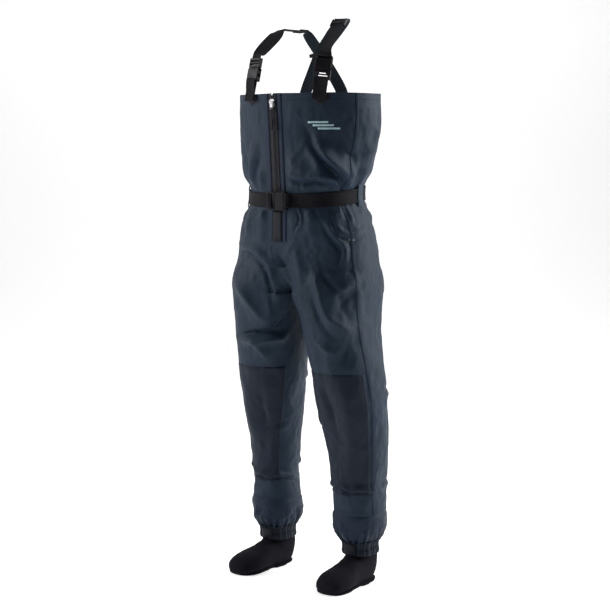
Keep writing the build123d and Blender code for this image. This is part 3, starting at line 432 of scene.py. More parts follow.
# Each is a kind, its width and height, and the line it follows over the cloth. A ridge is a soft
# roll, a crease a sharp valley, and a fold a valley with a roll on its left as the line runs.
FOLDS = [
    ("fold", 17, 13, [(105, -120, 1232), (130, -105, 1195), (147, -92, 1172), (158, -75, 1150),
                      (156, -62, 1126)]),
    ("ridge", 15, 8, [(98, -125, 1225), (112, -115, 1195), (124, -105, 1165), (142, -85, 1142)]),
    ("ridge", 22, 9, [(118, -115, 1222), (160, -85, 1192), (186, -35, 1172)]),
    ("fold", 13, 9, [(20, -132, 1150), (45, -128, 1142), (78, -122, 1140), (112, -108, 1144),
                     (146, -78, 1130)]),
    ("ridge", 24, 7, [(15, -135, 1190), (60, -128, 1176), (95, -118, 1168), (118, -108, 1144)]),
    ("ridge", 9, 7, [(176, -58, 1182), (173, -42, 1150), (166, -40, 1132)]),
    ("crease", 9, 7, [(184, -30, 1178), (182, -20, 1148)]),
    ("ridge", 24, 8, [(216, 40, 1285), (208, 5, 1215), (184, 0, 1156)]),
    ("crease", 22, 6, [(78, -132, 1300), (98, -124, 1250), (112, -115, 1212)]),
    ("crease", 20, 5, [(150, -110, 1300), (172, -90, 1245), (188, -50, 1200)]),
    ("crease", 16, 7, [(-125, -105, 1215), (-135, -90, 1170), (-128, -85, 1135)]),
    ("ridge", 18, 6, [(-100, -120, 1225), (-110, -108, 1175), (-106, -100, 1138)]),
    ("ridge", 16, 6, [(-165, -70, 1225), (-160, -60, 1180), (-148, -55, 1140)]),
    ("crease", 12, 5, [(-78, -125, 1200), (-86, -115, 1160), (-84, -110, 1130)]),
    ("fold", 7, 4, [(50, -122, 1062), (57, -121, 1040), (54, -121, 1022), (44, -123, 1008)]),
    ("ridge", 14, 5, [(85, -118, 1070), (92, -118, 1035), (88, -120, 1000)]),
    ("fold", 13, 5, [(146, -92, 1040), (150, -88, 1015), (166, -82, 992), (194, -48, 985), (205, -5, 998)]),
    ("crease", 12, 3, [(157, -85, 1035), (168, -72, 1015), (190, -45, 1008)]),
    ("ridge", 8, 4, [(170, -38, 1066), (175, -44, 1045), (181, -44, 1026)]),
    ("fold", 14, 6, [(128, -105, 1020), (148, -98, 985), (168, -85, 955), (168, -92, 920)]),
    ("ridge", 14, 5, [(-110, -108, 1075), (-122, -105, 1030), (-140, -98, 985)]),
    ("crease", 12, 5, [(-140, -85, 1070), (-152, -80, 1030), (-165, -70, 1000)]),
    ("ridge", 9, 5, [(-60, -118, 1066), (-66, -120, 1036)]),
    ("fold", 20, 8, [(-185, -75, 938), (-140, -108, 938), (-95, -120, 925), (-58, -125, 893),
                     (-42, -120, 845),
                     (-40, -112, 790)]),
    ("crease", 16, 8, [(-12, -124, 935), (6, -124, 905), (22, -122, 872), (18, -110, 848)]),
    ("ridge", 20, 6, [(40, -126, 950), (60, -126, 905), (66, -124, 860)]),
    ("facet", 26, 11, [(-175, -98, 872), (-140, -118, 832), (-95, -120, 780), (-58, -104, 738)]),
    ("fold", 16, 13, [(-35, -78, 716), (-62, -100, 712), (-110, -112, 706), (-150, -98, 702)]),
    ("facet", 22, 9, [(-112, -112, 700), (-96, -98, 668), (-76, -90, 636)]),
    ("facet", 18, 7, [(-30, -70, 700), (-52, -88, 668), (-78, -92, 634)]),
    ("crease", 8, 9, [(-60, -98, 728), (-40, -88, 746), (-22, -70, 772)]),
    ("facet", 18, 8, [(-40, -110, 806), (-52, -108, 770), (-60, -100, 736)]),
    ("crease", 10, 10, [(118, -125, 905), (138, -120, 880), (160, -114, 858), (178, -106, 842)]),
    ("crease", 9, 8, [(176, -108, 868), (188, -92, 888), (200, -72, 902), (211, -40, 906)]),
    ("facet", 14, 8, [(178, -106, 846), (196, -85, 858), (214, -48, 872)]),
    ("crease", 9, 8, [(176, -104, 826), (192, -88, 836), (212, -50, 850)]),
    ("crease", 9, 7, [(182, -98, 808), (196, -80, 826), (210, -55, 836)]),
    ("crease", 10, 7, [(178, -106, 842), (182, -100, 815), (188, -93, 790), (196, -84, 762)]),
    ("facet", 26, 13, [(108, -124, 898), (126, -120, 850), (150, -114, 778), (176, -96, 748),
                       (198, -76, 728)]),
    ("crease", 14, 7, [(98, -124, 842), (112, -120, 790), (136, -112, 744), (168, -92, 712)]),
    ("facet", 14, 7, [(106, -112, 706), (130, -110, 690), (156, -102, 672)]),
    ("crease", 12, 5, [(190, -78, 700), (180, -82, 668), (172, -86, 640)]),
    ("crease", 7, 5, [(218, 40, 742), (221, 10, 724), (219, -22, 706), (216, -38, 676)]),
    ("fold", 9, 9, [(-205, 5, 296), (-186, -14, 286), (-170, -24, 278), (-148, -28, 276), (-126, -24, 270),
                    (-102, -8, 276), (-88, 25, 266), (-84, 60, 256)]),
    ("crease", 5, 4, [(-160, -26, 280), (-140, -28, 264)]),
    ("fold", 9, 9, [(84, 20, 268), (98, -8, 276), (120, -28, 282), (145, -34, 278), (164, -32, 268),
                    (186, -24, 274), (206, 0, 272), (216, 45, 262)]),
    ("crease", 5, 4, [(150, -34, 280), (168, -32, 262)]),
    ("ridge", 20, 5, [(-160, -60, 560), (-172, -40, 480), (-165, -35, 400)]),
    ("crease", 22, 5, [(-110, -70, 580), (-120, -60, 500), (-118, -50, 410)]),
    ("crease", 24, 6, [(110, -85, 590), (130, -80, 510), (142, -66, 430), (140, -50, 350)]),
    ("ridge", 22, 5, [(180, -75, 570), (185, -60, 480), (182, -48, 390)]),
    ("fold", 14, 5, [(60, -30, 470), (85, -62, 440), (120, -70, 420)]),
    ("fold", 12, 4, [(-70, -10, 440), (-95, -48, 425), (-130, -55, 400)]),
    # the back and the sides
    ("fold", 18, 11, [(-150, 80, 1178), (-80, 98, 1158), (0, 104, 1150), (80, 98, 1160), (150, 80, 1180)]),
    ("crease", 18, 9, [(-60, 100, 1260), (-50, 100, 1200), (-30, 105, 1150)]),
    ("crease", 16, 8, [(70, 100, 1250), (60, 100, 1190), (46, 105, 1146)]),
    ("ridge", 20, 7, [(-195, 40, 1250), (-180, 40, 1190), (-160, 45, 1148)]),
    ("ridge", 22, 7, [(-110, 95, 1240), (-104, 98, 1180), (-92, 100, 1145)]),
    ("ridge", 22, 8, [(20, 100, 1230), (14, 102, 1180), (10, 106, 1144)]),
    ("fold", 16, 9, [(-170, 60, 1040), (-120, 95, 1010), (-60, 118, 1000), (0, 125, 1010)]),
    ("fold", 16, 8, [(175, 50, 1035), (140, 90, 1000), (80, 118, 985), (20, 128, 992)]),
    ("crease", 18, 8, [(0, 138, 950), (-4, 140, 900), (0, 130, 860)]),
    ("facet", 26, 10, [(-60, 140, 905), (-100, 140, 850), (-150, 110, 800)]),
    ("facet", 26, 10, [(60, 140, 900), (104, 138, 846), (154, 110, 796)]),
    ("fold", 18, 10, [(-50, 125, 800), (-100, 132, 790), (-160, 110, 770)]),
    ("fold", 18, 10, [(50, 125, 806), (100, 132, 790), (165, 105, 772)]),
    ("fold", 15, 12, [(-60, 80, 560), (-110, 112, 548), (-160, 105, 552), (-205, 50, 566)]),
    ("fold", 15, 12, [(60, 80, 556), (110, 112, 560), (165, 112, 548), (215, 60, 560)]),
    ("facet", 20, 8, [(-160, 108, 546), (-140, 110, 500), (-110, 108, 470)]),
    ("facet", 20, 8, [(110, 118, 552), (140, 116, 500), (170, 105, 466)]),
    ("fold", 12, 9, [(-90, 80, 300), (-130, 105, 288), (-175, 100, 292), (-205, 60, 300)]),
    ("fold", 12, 9, [(95, 80, 296), (140, 115, 286), (180, 110, 290), (212, 60, 298)]),
    ("ridge", 20, 6, [(-140, 100, 440), (-145, 104, 380), (-150, 108, 320)]),
    ("ridge", 20, 6, [(150, 108, 430), (155, 108, 370), (155, 112, 320)]),
]
def between(before, start, end, after, t):
    """A point on the Catmull-Rom curve from start to end."""
    return 0.5 * (2 * start + (end - before) * t + (2 * before - 5 * start + 4 * end - after) * t * t
                  + (3 * start - before - 3 * end + after) * t**3)


def fours(given):
    """Every four rows in turn of a table that goes on straight past its ends."""
    padded = np.vstack([2 * given[0] - given[1], given, 2 * given[-1] - given[-2]])
    return zip(padded, padded[1:], padded[2:], padded[3:])


def smooth_line(points, gap=3.0):
    """Points about gap apart on a smooth curve through the given ones."""
    given = np.array(points, float)
    out = []
    for four in fours(given):
        count = max(2, int(np.linalg.norm(four[2] - four[1]) / gap))
        out += [between(*four, t) for t in np.linspace(0, 1, count, endpoint=False)]
    return np.array(out + [given[-1]])


def fold_lift(spots, normals, kind, width, height, points):
    """How far one fold moves each spot of the cloth along its normal."""
    line = smooth_line(points)
    lift = np.zeros(len(spots))
    low, high = line.min(0) - 3.2 * width, line.max(0) + 3.2 * width
    near = np.where(((spots > low) & (spots < high)).all(1))[0]
    if not len(near):
        return lift
    away = spots[near][:, None, :] - line[None, :, :]
    squared = (away**2).sum(2)
    nearest = squared.argmin(1)
    picked = np.arange(len(near))
    apart = np.sqrt(squared[picked, nearest])
    along = np.gradient(line, axis=0)[nearest]
    along /= np.linalg.norm(along, axis=1, keepdims=True)
    handed = (np.cross(normals[near], along) * away[picked, nearest]).sum(1)
    flat = np.clip(handed, -apart, apart)
    share = nearest / (len(line) - 1)
    taper = np.sqrt(np.clip(np.sin(math.pi * (0.04 + 0.92 * share)), 0, 1))
    if kind == "ridge":
        form = np.exp(-(apart / width) ** 2)
    elif kind == "crease":
        form = -np.exp(-(np.sqrt(apart**2 + 4.0) - 2.0) / (0.62 * width))
    elif kind == "facet":
        form = np.exp(-(np.sqrt(apart**2 + 4.0) - 2.0) / (0.85 * width) - (apart / (2.6 * width)) ** 2)
    else:
        form = (np.exp(-((flat - 0.95 * width) / (0.8 * width)) ** 2)
                - 0.75 * np.exp(-((flat + 0.15 * width) / (0.42 * width)) ** 2))
        form *= np.exp(-((apart**2 - flat**2).clip(0) / (width * width)))
    lift[near] = height * taper * form
    return lift


BELT_Z, BELT_Y, BELT_SLOPE = 1102.0, 8.0, math.tan(math.radians(6.2))


def belt_height(y):
    return BELT_Z + (y - BELT_Y) * BELT_SLOPE


def rough(spots, scale, seed, octaves=3, ridged=False):
    """Smooth noise from about -1 to 1 at each spot; scale is the size of its lumps."""
    out = np.empty(len(spots))
    for index, spot in enumerate(spots):
        place = Vector((spot[0] / scale[0] + seed, spot[1] / scale[1], spot[2] / scale[2]))
        out[index] = mathutils.noise.fractal(place, 0.9, 2.1, octaves)
    return 1.0 - 2.0 * np.abs(out) if ridged else out


def garment_lift(spots, normals):
    """The whole relief of the cloth, in millimetres along its normals."""
    z, y, x = spots[:, 2], spots[:, 1], spots[:, 0]
    lift = 4.0 * rough(spots, (170, 170, 210), 3.1, 2)
    lift += 2.6 * rough(spots, (60, 60, 95), 7.7, 3, ridged=True)
    for kind, width, height, points in FOLDS:
        depth = BACK_FOLD_DEPTH if max(point[1] for point in points) > 20 else FOLD_DEPTH
        lift += depth * fold_lift(spots, normals, kind, width, height, points)
    # gathers above and below the belt
    over = z - belt_height(y)
    turn = np.arctan2(x, -y)
    wander = rough(spots, (45, 45, 400), 12.4, 2)
    gather = np.cos(turn * 23 + 5.0 * wander) * (0.65 + 0.6 * wander)
    reach = np.exp(-np.clip(np.abs(over) - 20, 0, None) / 34.0)
    lift += 3.4 * gather * reach
    lift += 7.0 * np.exp(-((over - 62) / 30.0) ** 2) * (over > 0) * (0.75 + 0.5 * wander)
    lift += 3.0 * np.exp(-((over + 52) / 26.0) ** 2) * (over < 0)
    under = 1 - smooth(19, 34, np.abs(over))
    lift = lift * (1 - under) + under * np.clip(lift - 1.0, -3.0, 0.6)
    # calm places: round the zip, at the rim, at the foot of the leg, and where the legs meet
    zip_side = smooth(28, 62, np.abs(x - ZIP_X)) + (y > 0) + (1 - smooth(950, 975, z))
    lift *= np.clip(zip_side, 0.04, 1)
    lift *= 0.12 + 0.88 * (1 - smooth(1318, 1368, z))
    lift *= 0.25 + 0.75 * smooth(205, 245, z)
    meet = (1 - smooth(4, 42, np.abs(x))) * (z < 905)
    lift *= 1 - 0.85 * meet
    back_strap = smooth(1290, 1335, z) * (y > 50)
    return np.where(back_strap > 0, np.minimum(lift, 1.0 + 6 * (1 - back_strap)), lift)


def grid_normals(grids):
    """Outward normals, the same on both sides of every join."""
    normals = {}
    for side, grid in grids.items():
        across, down = np.gradient(grid, axis=1), np.gradient(grid, axis=0)
        normals[side] = np.cross(across, down) * side
    for normal in normals.values():
        joined = normal[:FORK_ROW + 1, 0] + normal[:FORK_ROW + 1, -1]
        normal[:FORK_ROW + 1, 0] = normal[:FORK_ROW + 1, -1] = joined
    for column in (0, -1):
        joined = normals[RIGHT][FORK_ROW:, column] + normals[LEFT][FORK_ROW:, column]
        for side in grids:
            normals[side][FORK_ROW:, column] = joined
    for side in grids:
        normals[side] /= np.linalg.norm(normals[side], axis=2, keepdims=True) + 1e-9
    return normals


HEIGHTS = garment_heights()
FORK_ROW = int(np.where(HEIGHTS >= FORK_Z[0])[0][0])
SEAM_COLUMN = FRONT_COLUMNS
LAST_COLUMN = FRONT_COLUMNS + BACK_COLUMNS
BASE = {side: garment_grid(side, HEIGHTS) for side in (RIGHT, LEFT)}
RIM_WAVER = 1.05


def drape():
    """The folded cloth on the same grid, in millimetres, with its normals."""
    draped = {}
    for side, grid in BASE.items():
        lift = garment_lift(grid.reshape(-1, 3), BASE_NORMALS[side].reshape(-1, 3)).reshape(grid.shape[:2])
        draped[side] = grid + BASE_NORMALS[side] * lift[..., None]
        waver = np.abs(np.sin(np.arctan2(grid[..., 0], -grid[..., 1]) * 3.0))
        draped[side][..., 2] -= RIM_WAVER * smooth(RIM_Z - 12, RIM_Z, grid[..., 2]) * waver
    return draped, grid_normals(draped)


BASE_NORMALS = grid_normals(BASE)
CLOTH, NORMALS = drape()


def to_frame(spots):
    return np.asarray(spots, float) / 1000.0 + MOVE


def bilinear(grid, rows, columns):
    rows, columns = np.broadcast_arrays(np.asarray(rows, float), np.asarray(columns, float))
    r = np.clip(np.floor(rows).astype(int), 0, grid.shape[0] - 2)
    c = np.clip(np.floor(columns).astype(int), 0, grid.shape[1] - 2)
    down, along = (rows - r)[..., None], (columns - c)[..., None]
    upper = grid[r, c] * (1 - along) + grid[r, c + 1] * along
    lower = grid[r + 1, c] * (1 - along) + grid[r + 1, c + 1] * along
    return upper * (1 - down) + lower * down


def row_at(z):
    return np.interp(z, HEIGHTS, np.arange(len(HEIGHTS)))


def on_grid(grid, normals, z, column, off):
    rows = row_at(z)
    normal = bilinear(normals, rows, column)
    normal /= np.linalg.norm(normal, axis=-1, keepdims=True)
    return bilinear(grid, rows, column) + normal * np.asarray(off, float)[..., None]


def on_cloth(side, z, column, off=0.0):
    """Points on the draped cloth, in millimetres, off it by off."""
    return on_grid(CLOTH[side], NORMALS[side], z, column, off)


def on_base(side, z, column, off=0.0):
    """Points on the smooth form under the folds, in millimetres, off it by off."""
    return on_grid(BASE[side], BASE_NORMALS[side], z, column, off)


def column_at_x(z, x):
    """The side and column of the front of the torso at X."""
    for side in (LEFT, RIGHT):
        line = bilinear(BASE[side], row_at(z), np.arange(SEAM_COLUMN + 1))[..., 0] * side
        if x * side >= line[0]:
            break
    return side, float(np.interp(x * side, line, np.arange(len(line))))


def on_front(z, x, off):
    side, column = column_at_x(z, x)
    return on_cloth(side, z, column, off)


def front_grid(xs, zs, off=0.0):
    """A net of points over the front of the torso, rows from the top down."""
    offs = np.broadcast_to(off, len(xs))
    return np.array([[on_front(z, x, lift) for x, lift in zip(xs, offs)] for z in zs])


# ---------------------------------------------------------------- making pieces
def new_piece(name, verts, faces, material, uvs, body=GARMENT, slot=None, replaces=()):
    mesh = bpy.data.meshes.new(name)
    mesh.from_pydata([tuple(v) for v in verts], [], faces)
    corners = [loop.vertex_index for loop in mesh.loops]
    mesh.uv_layers.new(name="weave").data.foreach_set("uv", np.asarray(uvs, np.float32)[corners].ravel())
    for entry in material if isinstance(material, list) else [material]:
        mesh.materials.append(entry)
    mesh.polygons.foreach_set("use_smooth", [True] * len(mesh.polygons))
    piece = bpy.data.objects.new(name, mesh)
    bpy.context.scene.collection.objects.link(piece)
    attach(piece, body)
    if replaces:
        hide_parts(*replaces)
    return piece


def mend(piece, weld=0.0, level=False, outward=False):
    """Weld points nearer than weld metres, drop faces with no area, turn the rest outward."""
    form = bmesh.new()
    form.from_mesh(piece.data)
    if weld:
        bmesh.ops.remove_doubles(form, verts=form.verts, dist=weld)
    if level:
        bmesh.ops.dissolve_degenerate(form, edges=form.edges, dist=1e-6)
    if outward:
        bmesh.ops.recalc_face_normals(form, faces=form.faces)
    form.to_mesh(piece.data)
    form.free()


def thicken(piece, thick):
    """Real cloth thickness inward, in millimetres. The inner face takes a second finish if there is one."""
    solid = piece.modifiers.new("thickness", "SOLIDIFY")
    solid.thickness = thick / 1000.0
    solid.material_offset = len(piece.data.materials) - 1
    graph = bpy.context.evaluated_depsgraph_get()
    mesh = bpy.data.meshes.new_from_object(piece.evaluated_get(graph))
    piece.modifiers.clear()
    piece.data = mesh


def double_ply(piece, thick):
    """A welded panel's inner side, along the cloth's own normals, so that panels meet without a break."""
    mesh = piece.data
    count = len(mesh.vertices)
    lie = np.zeros(3 * count, np.float32)
    mesh.attributes["lie"].data.foreach_get("vector", lie)
    lie = lie.reshape(-1, 3)
    outer = np.array([vertex.co for vertex in mesh.vertices])
    uvs = np.zeros((count, 2))
    for polygon in mesh.polygons:
        for corner, loop in zip(polygon.vertices, polygon.loop_indices):
            uvs[corner] = mesh.uv_layers[0].data[loop].uv
    faces = [tuple(polygon.vertices) for polygon in mesh.polygons]
    ways = {(a, b) for face in faces for a, b in zip(face, face[1:] + face[:1])}
    rims = [(b, a, a + count, b + count) for a, b in ways if (b, a) not in ways]
    inside = [tuple(corner + count for corner in face[::-1]) for face in faces]
    double = bpy.data.meshes.new(mesh.name + "_ply")
    inner = outer - lie * thick / 1000.0
    double.from_pydata(np.concatenate([outer, inner]).tolist(), [], faces + inside + rims)
    for entry in mesh.materials:
        double.materials.append(entry)
    double.polygons.foreach_set("material_index", [0] * len(faces) + [1] * len(inside) + [0] * len(rims))
    double.polygons.foreach_set("use_smooth", [True] * len(double.polygons))
    corners = [corner for face in faces + inside + rims for corner in face]
    layer = double.uv_layers.new(name="weave")
    layer.data.foreach_set("uv", np.concatenate([uvs, uvs]).astype(np.float32)[corners].ravel())
    flat = [corner for face in faces for corner in face]
    turned = [corner - count for face in inside for corner in face]
    edge = np.repeat([list(polygon.normal) for polygon in double.polygons[-len(rims):]], 4, axis=0)
    double.normals_split_custom_set(np.concatenate([lie[flat], -lie[turned], edge]).tolist())
    piece.data = double


def net_faces(rows, columns, flip=False, start=0):
    faces = []
    for row in range(rows - 1):
        for column in range(columns - 1):
            a = start + row * columns + column
            face = (a, a + 1, a + columns + 1, a + columns)
            faces.append(face[::-1] if flip else face)
    return faces


def run_along(net, axis):
    """How far each point of a net lies along its row or down its column."""
    steps = np.linalg.norm(np.diff(net, axis=axis), axis=2).cumsum(axis)
    return np.insert(steps, 0, 0.0, axis=axis)


def net_uvs(net):
    """Run along the rows and down the columns, in metres."""
    return np.stack([run_along(net, 1), run_along(net, 0)], 2).reshape(-1, 2) / 1000.0


def join_nets(name, nets, material, flips, thick=0.0, weld=False, **facts):
    """One piece from nets of points in millimetres, facing outward, with its thickness inward."""
    faces, count = [], 0
    for net, flip in zip(nets, flips):
        faces += net_faces(net.shape[0], net.shape[1], flip, count)
        count += net.shape[0] * net.shape[1]
    piece = new_piece(name, to_frame(np.concatenate([net.reshape(-1, 3) for net in nets])), faces, material,
                      uvs=np.concatenate([net_uvs(net) for net in nets]), **facts)
    if weld:
        mend(piece, weld=WELD, level=True)
    if thick:
        thicken(piece, thick)
    return piece


def net_piece(name, net, material, thick, flip=True, **facts):
    return join_nets(name, [net], material, [flip], thick, **facts)


WELD = 5e-5
STITCHES = {}


def stitch_row(batch, spots, normals, pitch=3.6, long=2.5, wide=0.75, tall=0.42):
    """Sewn stitches along a line of points, in millimetres, gathered by name of batch."""
    verts, faces = STITCHES.setdefault(batch, ([], []))
    spots, normals = np.asarray(spots, float), np.asarray(normals, float)
    run = np.concatenate([[0], np.linalg.norm(np.diff(spots, axis=0), axis=1).cumsum()])
    for place in np.arange(pitch / 2, run[-1], pitch):
        ends = [np.array([np.interp(place + reach, run, spots[:, axis]) for axis in range(3)])
                for reach in (-long / 2, long / 2)]
        up = np.array([np.interp(place, run, normals[:, axis]) for axis in range(3)])
        up /= np.linalg.norm(up)
        along = ends[1] - ends[0]
        along /= np.linalg.norm(along) + 1e-9
        aside = np.cross(along, up)
        middle = (ends[0] + ends[1]) / 2 + up * tall
        start = len(verts)
        ring = []
        for reach, thin in ((-0.5, 0.25), (-0.28, 0.9), (0.28, 0.9), (0.5, 0.25)):
            centre = middle + along * long * reach - up * (tall * 1.3 * (1 - thin))
            ring.append([centre + aside * wide / 2 * thin - up * 0.35, centre + up * 0.22 * thin,
                         centre - aside * wide / 2 * thin - up * 0.35])
        for section in ring:
            verts.extend(to_frame(section))
        for step in range(3):
            a = start + 3 * step
            faces.extend([(a, a + 3, a + 4, a + 1), (a + 1, a + 4, a + 5, a + 2), (a + 2, a + 5, a + 3, a)])
        faces.extend([(start, start + 1, start + 2), (start + 11, start + 10, start + 9)])


def sew_all():
    for batch, (verts, faces) in STITCHES.items():
        name, body, finish = batch
        new_piece(name, verts, faces, finish, np.zeros((len(verts), 2)), body)


def sew(batch, side, z, column, off, **sizes):
    """Stitches along a line on the cloth."""
    line = on_cloth(side, z, column, off)
    stitch_row(batch, line, line - on_cloth(side, z, column, off - 1.0), **sizes)


def normals_of(spots, outward):
    """A normal for each point of a line: one direction for all."""
    return np.repeat(np.asarray(outward, float)[None, :], len(spots), axis=0)


# ---------------------------------------------------------------- shell panels
SHELL_PLY = 1.1
UNDER_SHELL = -1.25
GUSSET_COLUMNS = 9
GUSSET_TOP_ROW = FORK_ROW + 5
GUSSET_LOW_ROW = int(np.where(HEIGHTS >= 735)[0][0])


def cloth_uvs(side, rows, columns):
    """Distance round from the side seam and height, in metres."""
    grid = BASE[side]
    run = run_along(grid, 1)
    run -= run[:, [SEAM_COLUMN]]
    net = np.stack([run * side, grid[..., 2]], 2) / 1000.0
    return net[rows][:, columns]


def panel(name, parts, node, material):
    """Parts are (side, first row, last row, first column, last column), welded where they meet."""
    verts, faces, uvs, lie, count = [], [], [], [], 0
    for side, top, low, first, last in parts:
        rows, columns = slice(top, low + 1), slice(first, last + 1)
        net = CLOTH[side][rows, columns]
        lie.append(NORMALS[side][rows, columns].reshape(-1, 3))
        verts.append(to_frame(net.reshape(-1, 3)))
        uvs.append(cloth_uvs(side, rows, columns).reshape(-1, 2))
        faces += net_faces(net.shape[0], net.shape[1], flip=side == RIGHT, start=count)
        count += net.shape[0] * net.shape[1]
    piece = new_piece(name, np.concatenate(verts), faces, material, np.concatenate(uvs), slot="shell_fabric",
                      replaces=(node,))
    lie = np.concatenate(lie).astype(np.float32)
    lie /= np.linalg.norm(lie, axis=1, keepdims=True)
    piece.data.attributes.new("lie", "FLOAT_VECTOR", "POINT").data.foreach_set("vector", lie.ravel())
    mend(piece, weld=2e-6)
    double_ply(piece, SHELL_PLY)


def shell_panels():
    top = len(HEIGHTS) - 1
    finish = [SHELL, LINING]
    g, last = GUSSET_COLUMNS, LAST_COLUMN
    for side, word in WORDS.items():
        panel(word + "_front_cloth", [(side, GUSSET_TOP_ROW, top, 0, SEAM_COLUMN),
                                      (side, FORK_ROW, GUSSET_TOP_ROW, g, SEAM_COLUMN)],
              word + "_front_panel", finish)
        panel(word + "_leg_front_cloth", [(side, 0, GUSSET_LOW_ROW, 0, SEAM_COLUMN),
                                          (side, GUSSET_LOW_ROW, FORK_ROW, g, SEAM_COLUMN)],
              word + "_leg_front", finish)
        panel(word + "_leg_back_cloth", [(side, 0, GUSSET_LOW_ROW, SEAM_COLUMN, last),
                                         (side, GUSSET_LOW_ROW, FORK_ROW, SEAM_COLUMN, last - g)],
              word + "_leg_back", [SHELL_BACK, LINING])
    back, gusset = [], []
    for side in WORDS:
        back += [(side, GUSSET_TOP_ROW, top, SEAM_COLUMN, last),
                 (side, FORK_ROW, GUSSET_TOP_ROW, SEAM_COLUMN, last - g)]
        gusset += [(side, GUSSET_LOW_ROW, GUSSET_TOP_ROW, start, start + g) for start in (0, last - g)]
    panel("back_cloth", back, "back_panel", [SHELL_BACK, LINING])
    panel("gusset_cloth", gusset, "crotch_gusset", finish)


TAPE_EDGE, PLACKET_EDGE = 15.0, 30.0
GARAGE = (975.0, 1058.0)


def span(low, high, step):
    return np.linspace(low, high, max(2, int(round(abs(high - low) / step)) + 1))


def front_line(x, zs, off):
    """A line down the front and its outward normals."""
    net = front_grid([x], zs, off)[:, 0]
    lower = front_grid([x], zs, off - 1.0)[:, 0]
    return net, net - lower


def zip_trim():
    zs = span(RIM_Z - 0.3, GARAGE[0], 6)
    tape = [(3.0, 0.9), (4.2, 1.5), (5.2, 1.1), (9.0, 1.1), (13.6, 1.2), (15.0, 0.5)]
    placket = [(15.4, 0.4), (16.4, 1.4), (20, 1.8), (25, 1.8), (28.8, 1.5), (30.0, 0.3)]
    for side in (RIGHT, LEFT):
        for form, word, finish, slot in ((tape, "_zip_tape", COATED, "zip_tape"),
                                         (placket, "_placket", SEAM, "shell_fabric")):
            order = form[::-1] if side == RIGHT else form
            xs = [ZIP_X + side * x for x, _ in order]
            net = front_grid(xs, zs, [off for _, off in order])
            node = WORDS[side] + word
            net_piece(node + "_cloth", net, finish, 1.0, slot=slot, replaces=(node,))
        for x, thread in ((13.0, BLACK_STITCH), (17.4, STITCH), (28.0, STITCH)):
            stitch_row(("zip_stitches", GARMENT, thread), *front_line(ZIP_X + side * x, zs, 1.5))


def zip_garage():
    low, high = GARAGE
    zs = span(high, low, 5)
    half = TAPE_EDGE + 1
    xs = ZIP_X + np.array([-half, -half + 1.2, -8, 0, 8, half - 1.2, half])
    offs = [2.5, 3.5, 3.6, 3.7, 3.6, 3.5, 2.5]
    net_piece("zip_garage_cloth", front_grid(xs, zs, offs), COATED, 1.1, slot="zip_tape",
              replaces=("zip_garage",))
    batch = ("zip_garage_stitches", GARMENT, BLACK_STITCH)
    for x in (-half + 2.5, half - 2.5):
        stitch_row(batch, *front_line(ZIP_X + x, span(high - 2, low + 2, 5), 3.8))
    for z in (low + 2.5, low + 5.5, low + 14):
        across = front_grid(ZIP_X + np.linspace(-half + 2, half - 2, 9), [z], 3.8)[0]
        stitch_row(batch, across, normals_of(across, (0, -1, -0.05)))
    for tilt in (-1, 1):
        cross = np.array([on_front(low + 9.8 + step * 0.35, ZIP_X + tilt * step, 3.8)
                          for step in np.linspace(-11, 11, 8)])
        stitch_row(batch, cross, normals_of(cross, (0, -1, -0.05)))


def mark_and_hem():
    bars = []
    for row in range(3):
        left, bottom = 92 + 13 * row, 1298 - 8.5 * row
        heights = [bottom + 5, bottom + 4.2, bottom + 0.8, bottom]
        bars.append(front_grid(np.linspace(left, left + 52, 15), heights, 0.55))
    join_nets("chest_mark_print", bars, MARK, [True] * 3, 0.4, slot="print", replaces=("chest_mark",))
    inner = []
    columns = np.append(np.arange(1.6, LAST_COLUMN - 0.5, 1.0), LAST_COLUMN)
    for side in (RIGHT, LEFT):
        inner.append(np.array([on_cloth(side, z, columns, UNDER_SHELL) for z in (1379.6, 1374, 1367, 1360)]))
        begin = int(column_at_x(1361, ZIP_X + side * (PLACKET_EDGE + 1))[1]) + 1
        sew(("rim_stitches", GARMENT, STITCH), side, 1361.5, np.arange(begin, LAST_COLUMN), 0.25, pitch=3.4)
    join_nets("rim_hem_cloth", inner, SEAM, [False, True], 1.0, weld=True, slot="shell_fabric",
              replaces=("rim_hem",))


def side_seams():
    """Felled seams with two rows of stitches outside, and sealing tape inside."""
    form = np.array([(-1.25, -0.4), (-1.05, 0.7), (-0.4, 1.0), (0.4, 1.0), (1.05, 0.7), (1.25, -0.4)])
    zs = span(RIM_Z - 0.3, 205.5, 5)
    welts, tapes = [], []
    for side in (RIGHT, LEFT):
        welts.append(np.array([on_cloth(side, z, SEAM_COLUMN + form[:, 0], form[:, 1]) for z in zs]))
        for column in (-0.75, 0.75):
            sew(("side_seam_stitches", GARMENT, STITCH), side, zs, SEAM_COLUMN + column, 1.0)
        for low, high in ((211, 729), (834, RIM_Z - 24)):
            tapes.append(np.array([on_cloth(side, z, SEAM_COLUMN + np.linspace(-2.2, 2.2, 7), UNDER_SHELL)
                                   for z in span(high, low, 8)]))
    join_nets("side_seam_welts", welts, SEAM, [False, True], slot="shell_fabric")
    join_nets("inner_seam_tape_strips", tapes, TAPE, [False, False, True, True], 0.5, slot="seam_tape",
              replaces=("inner_seam_tapes",))


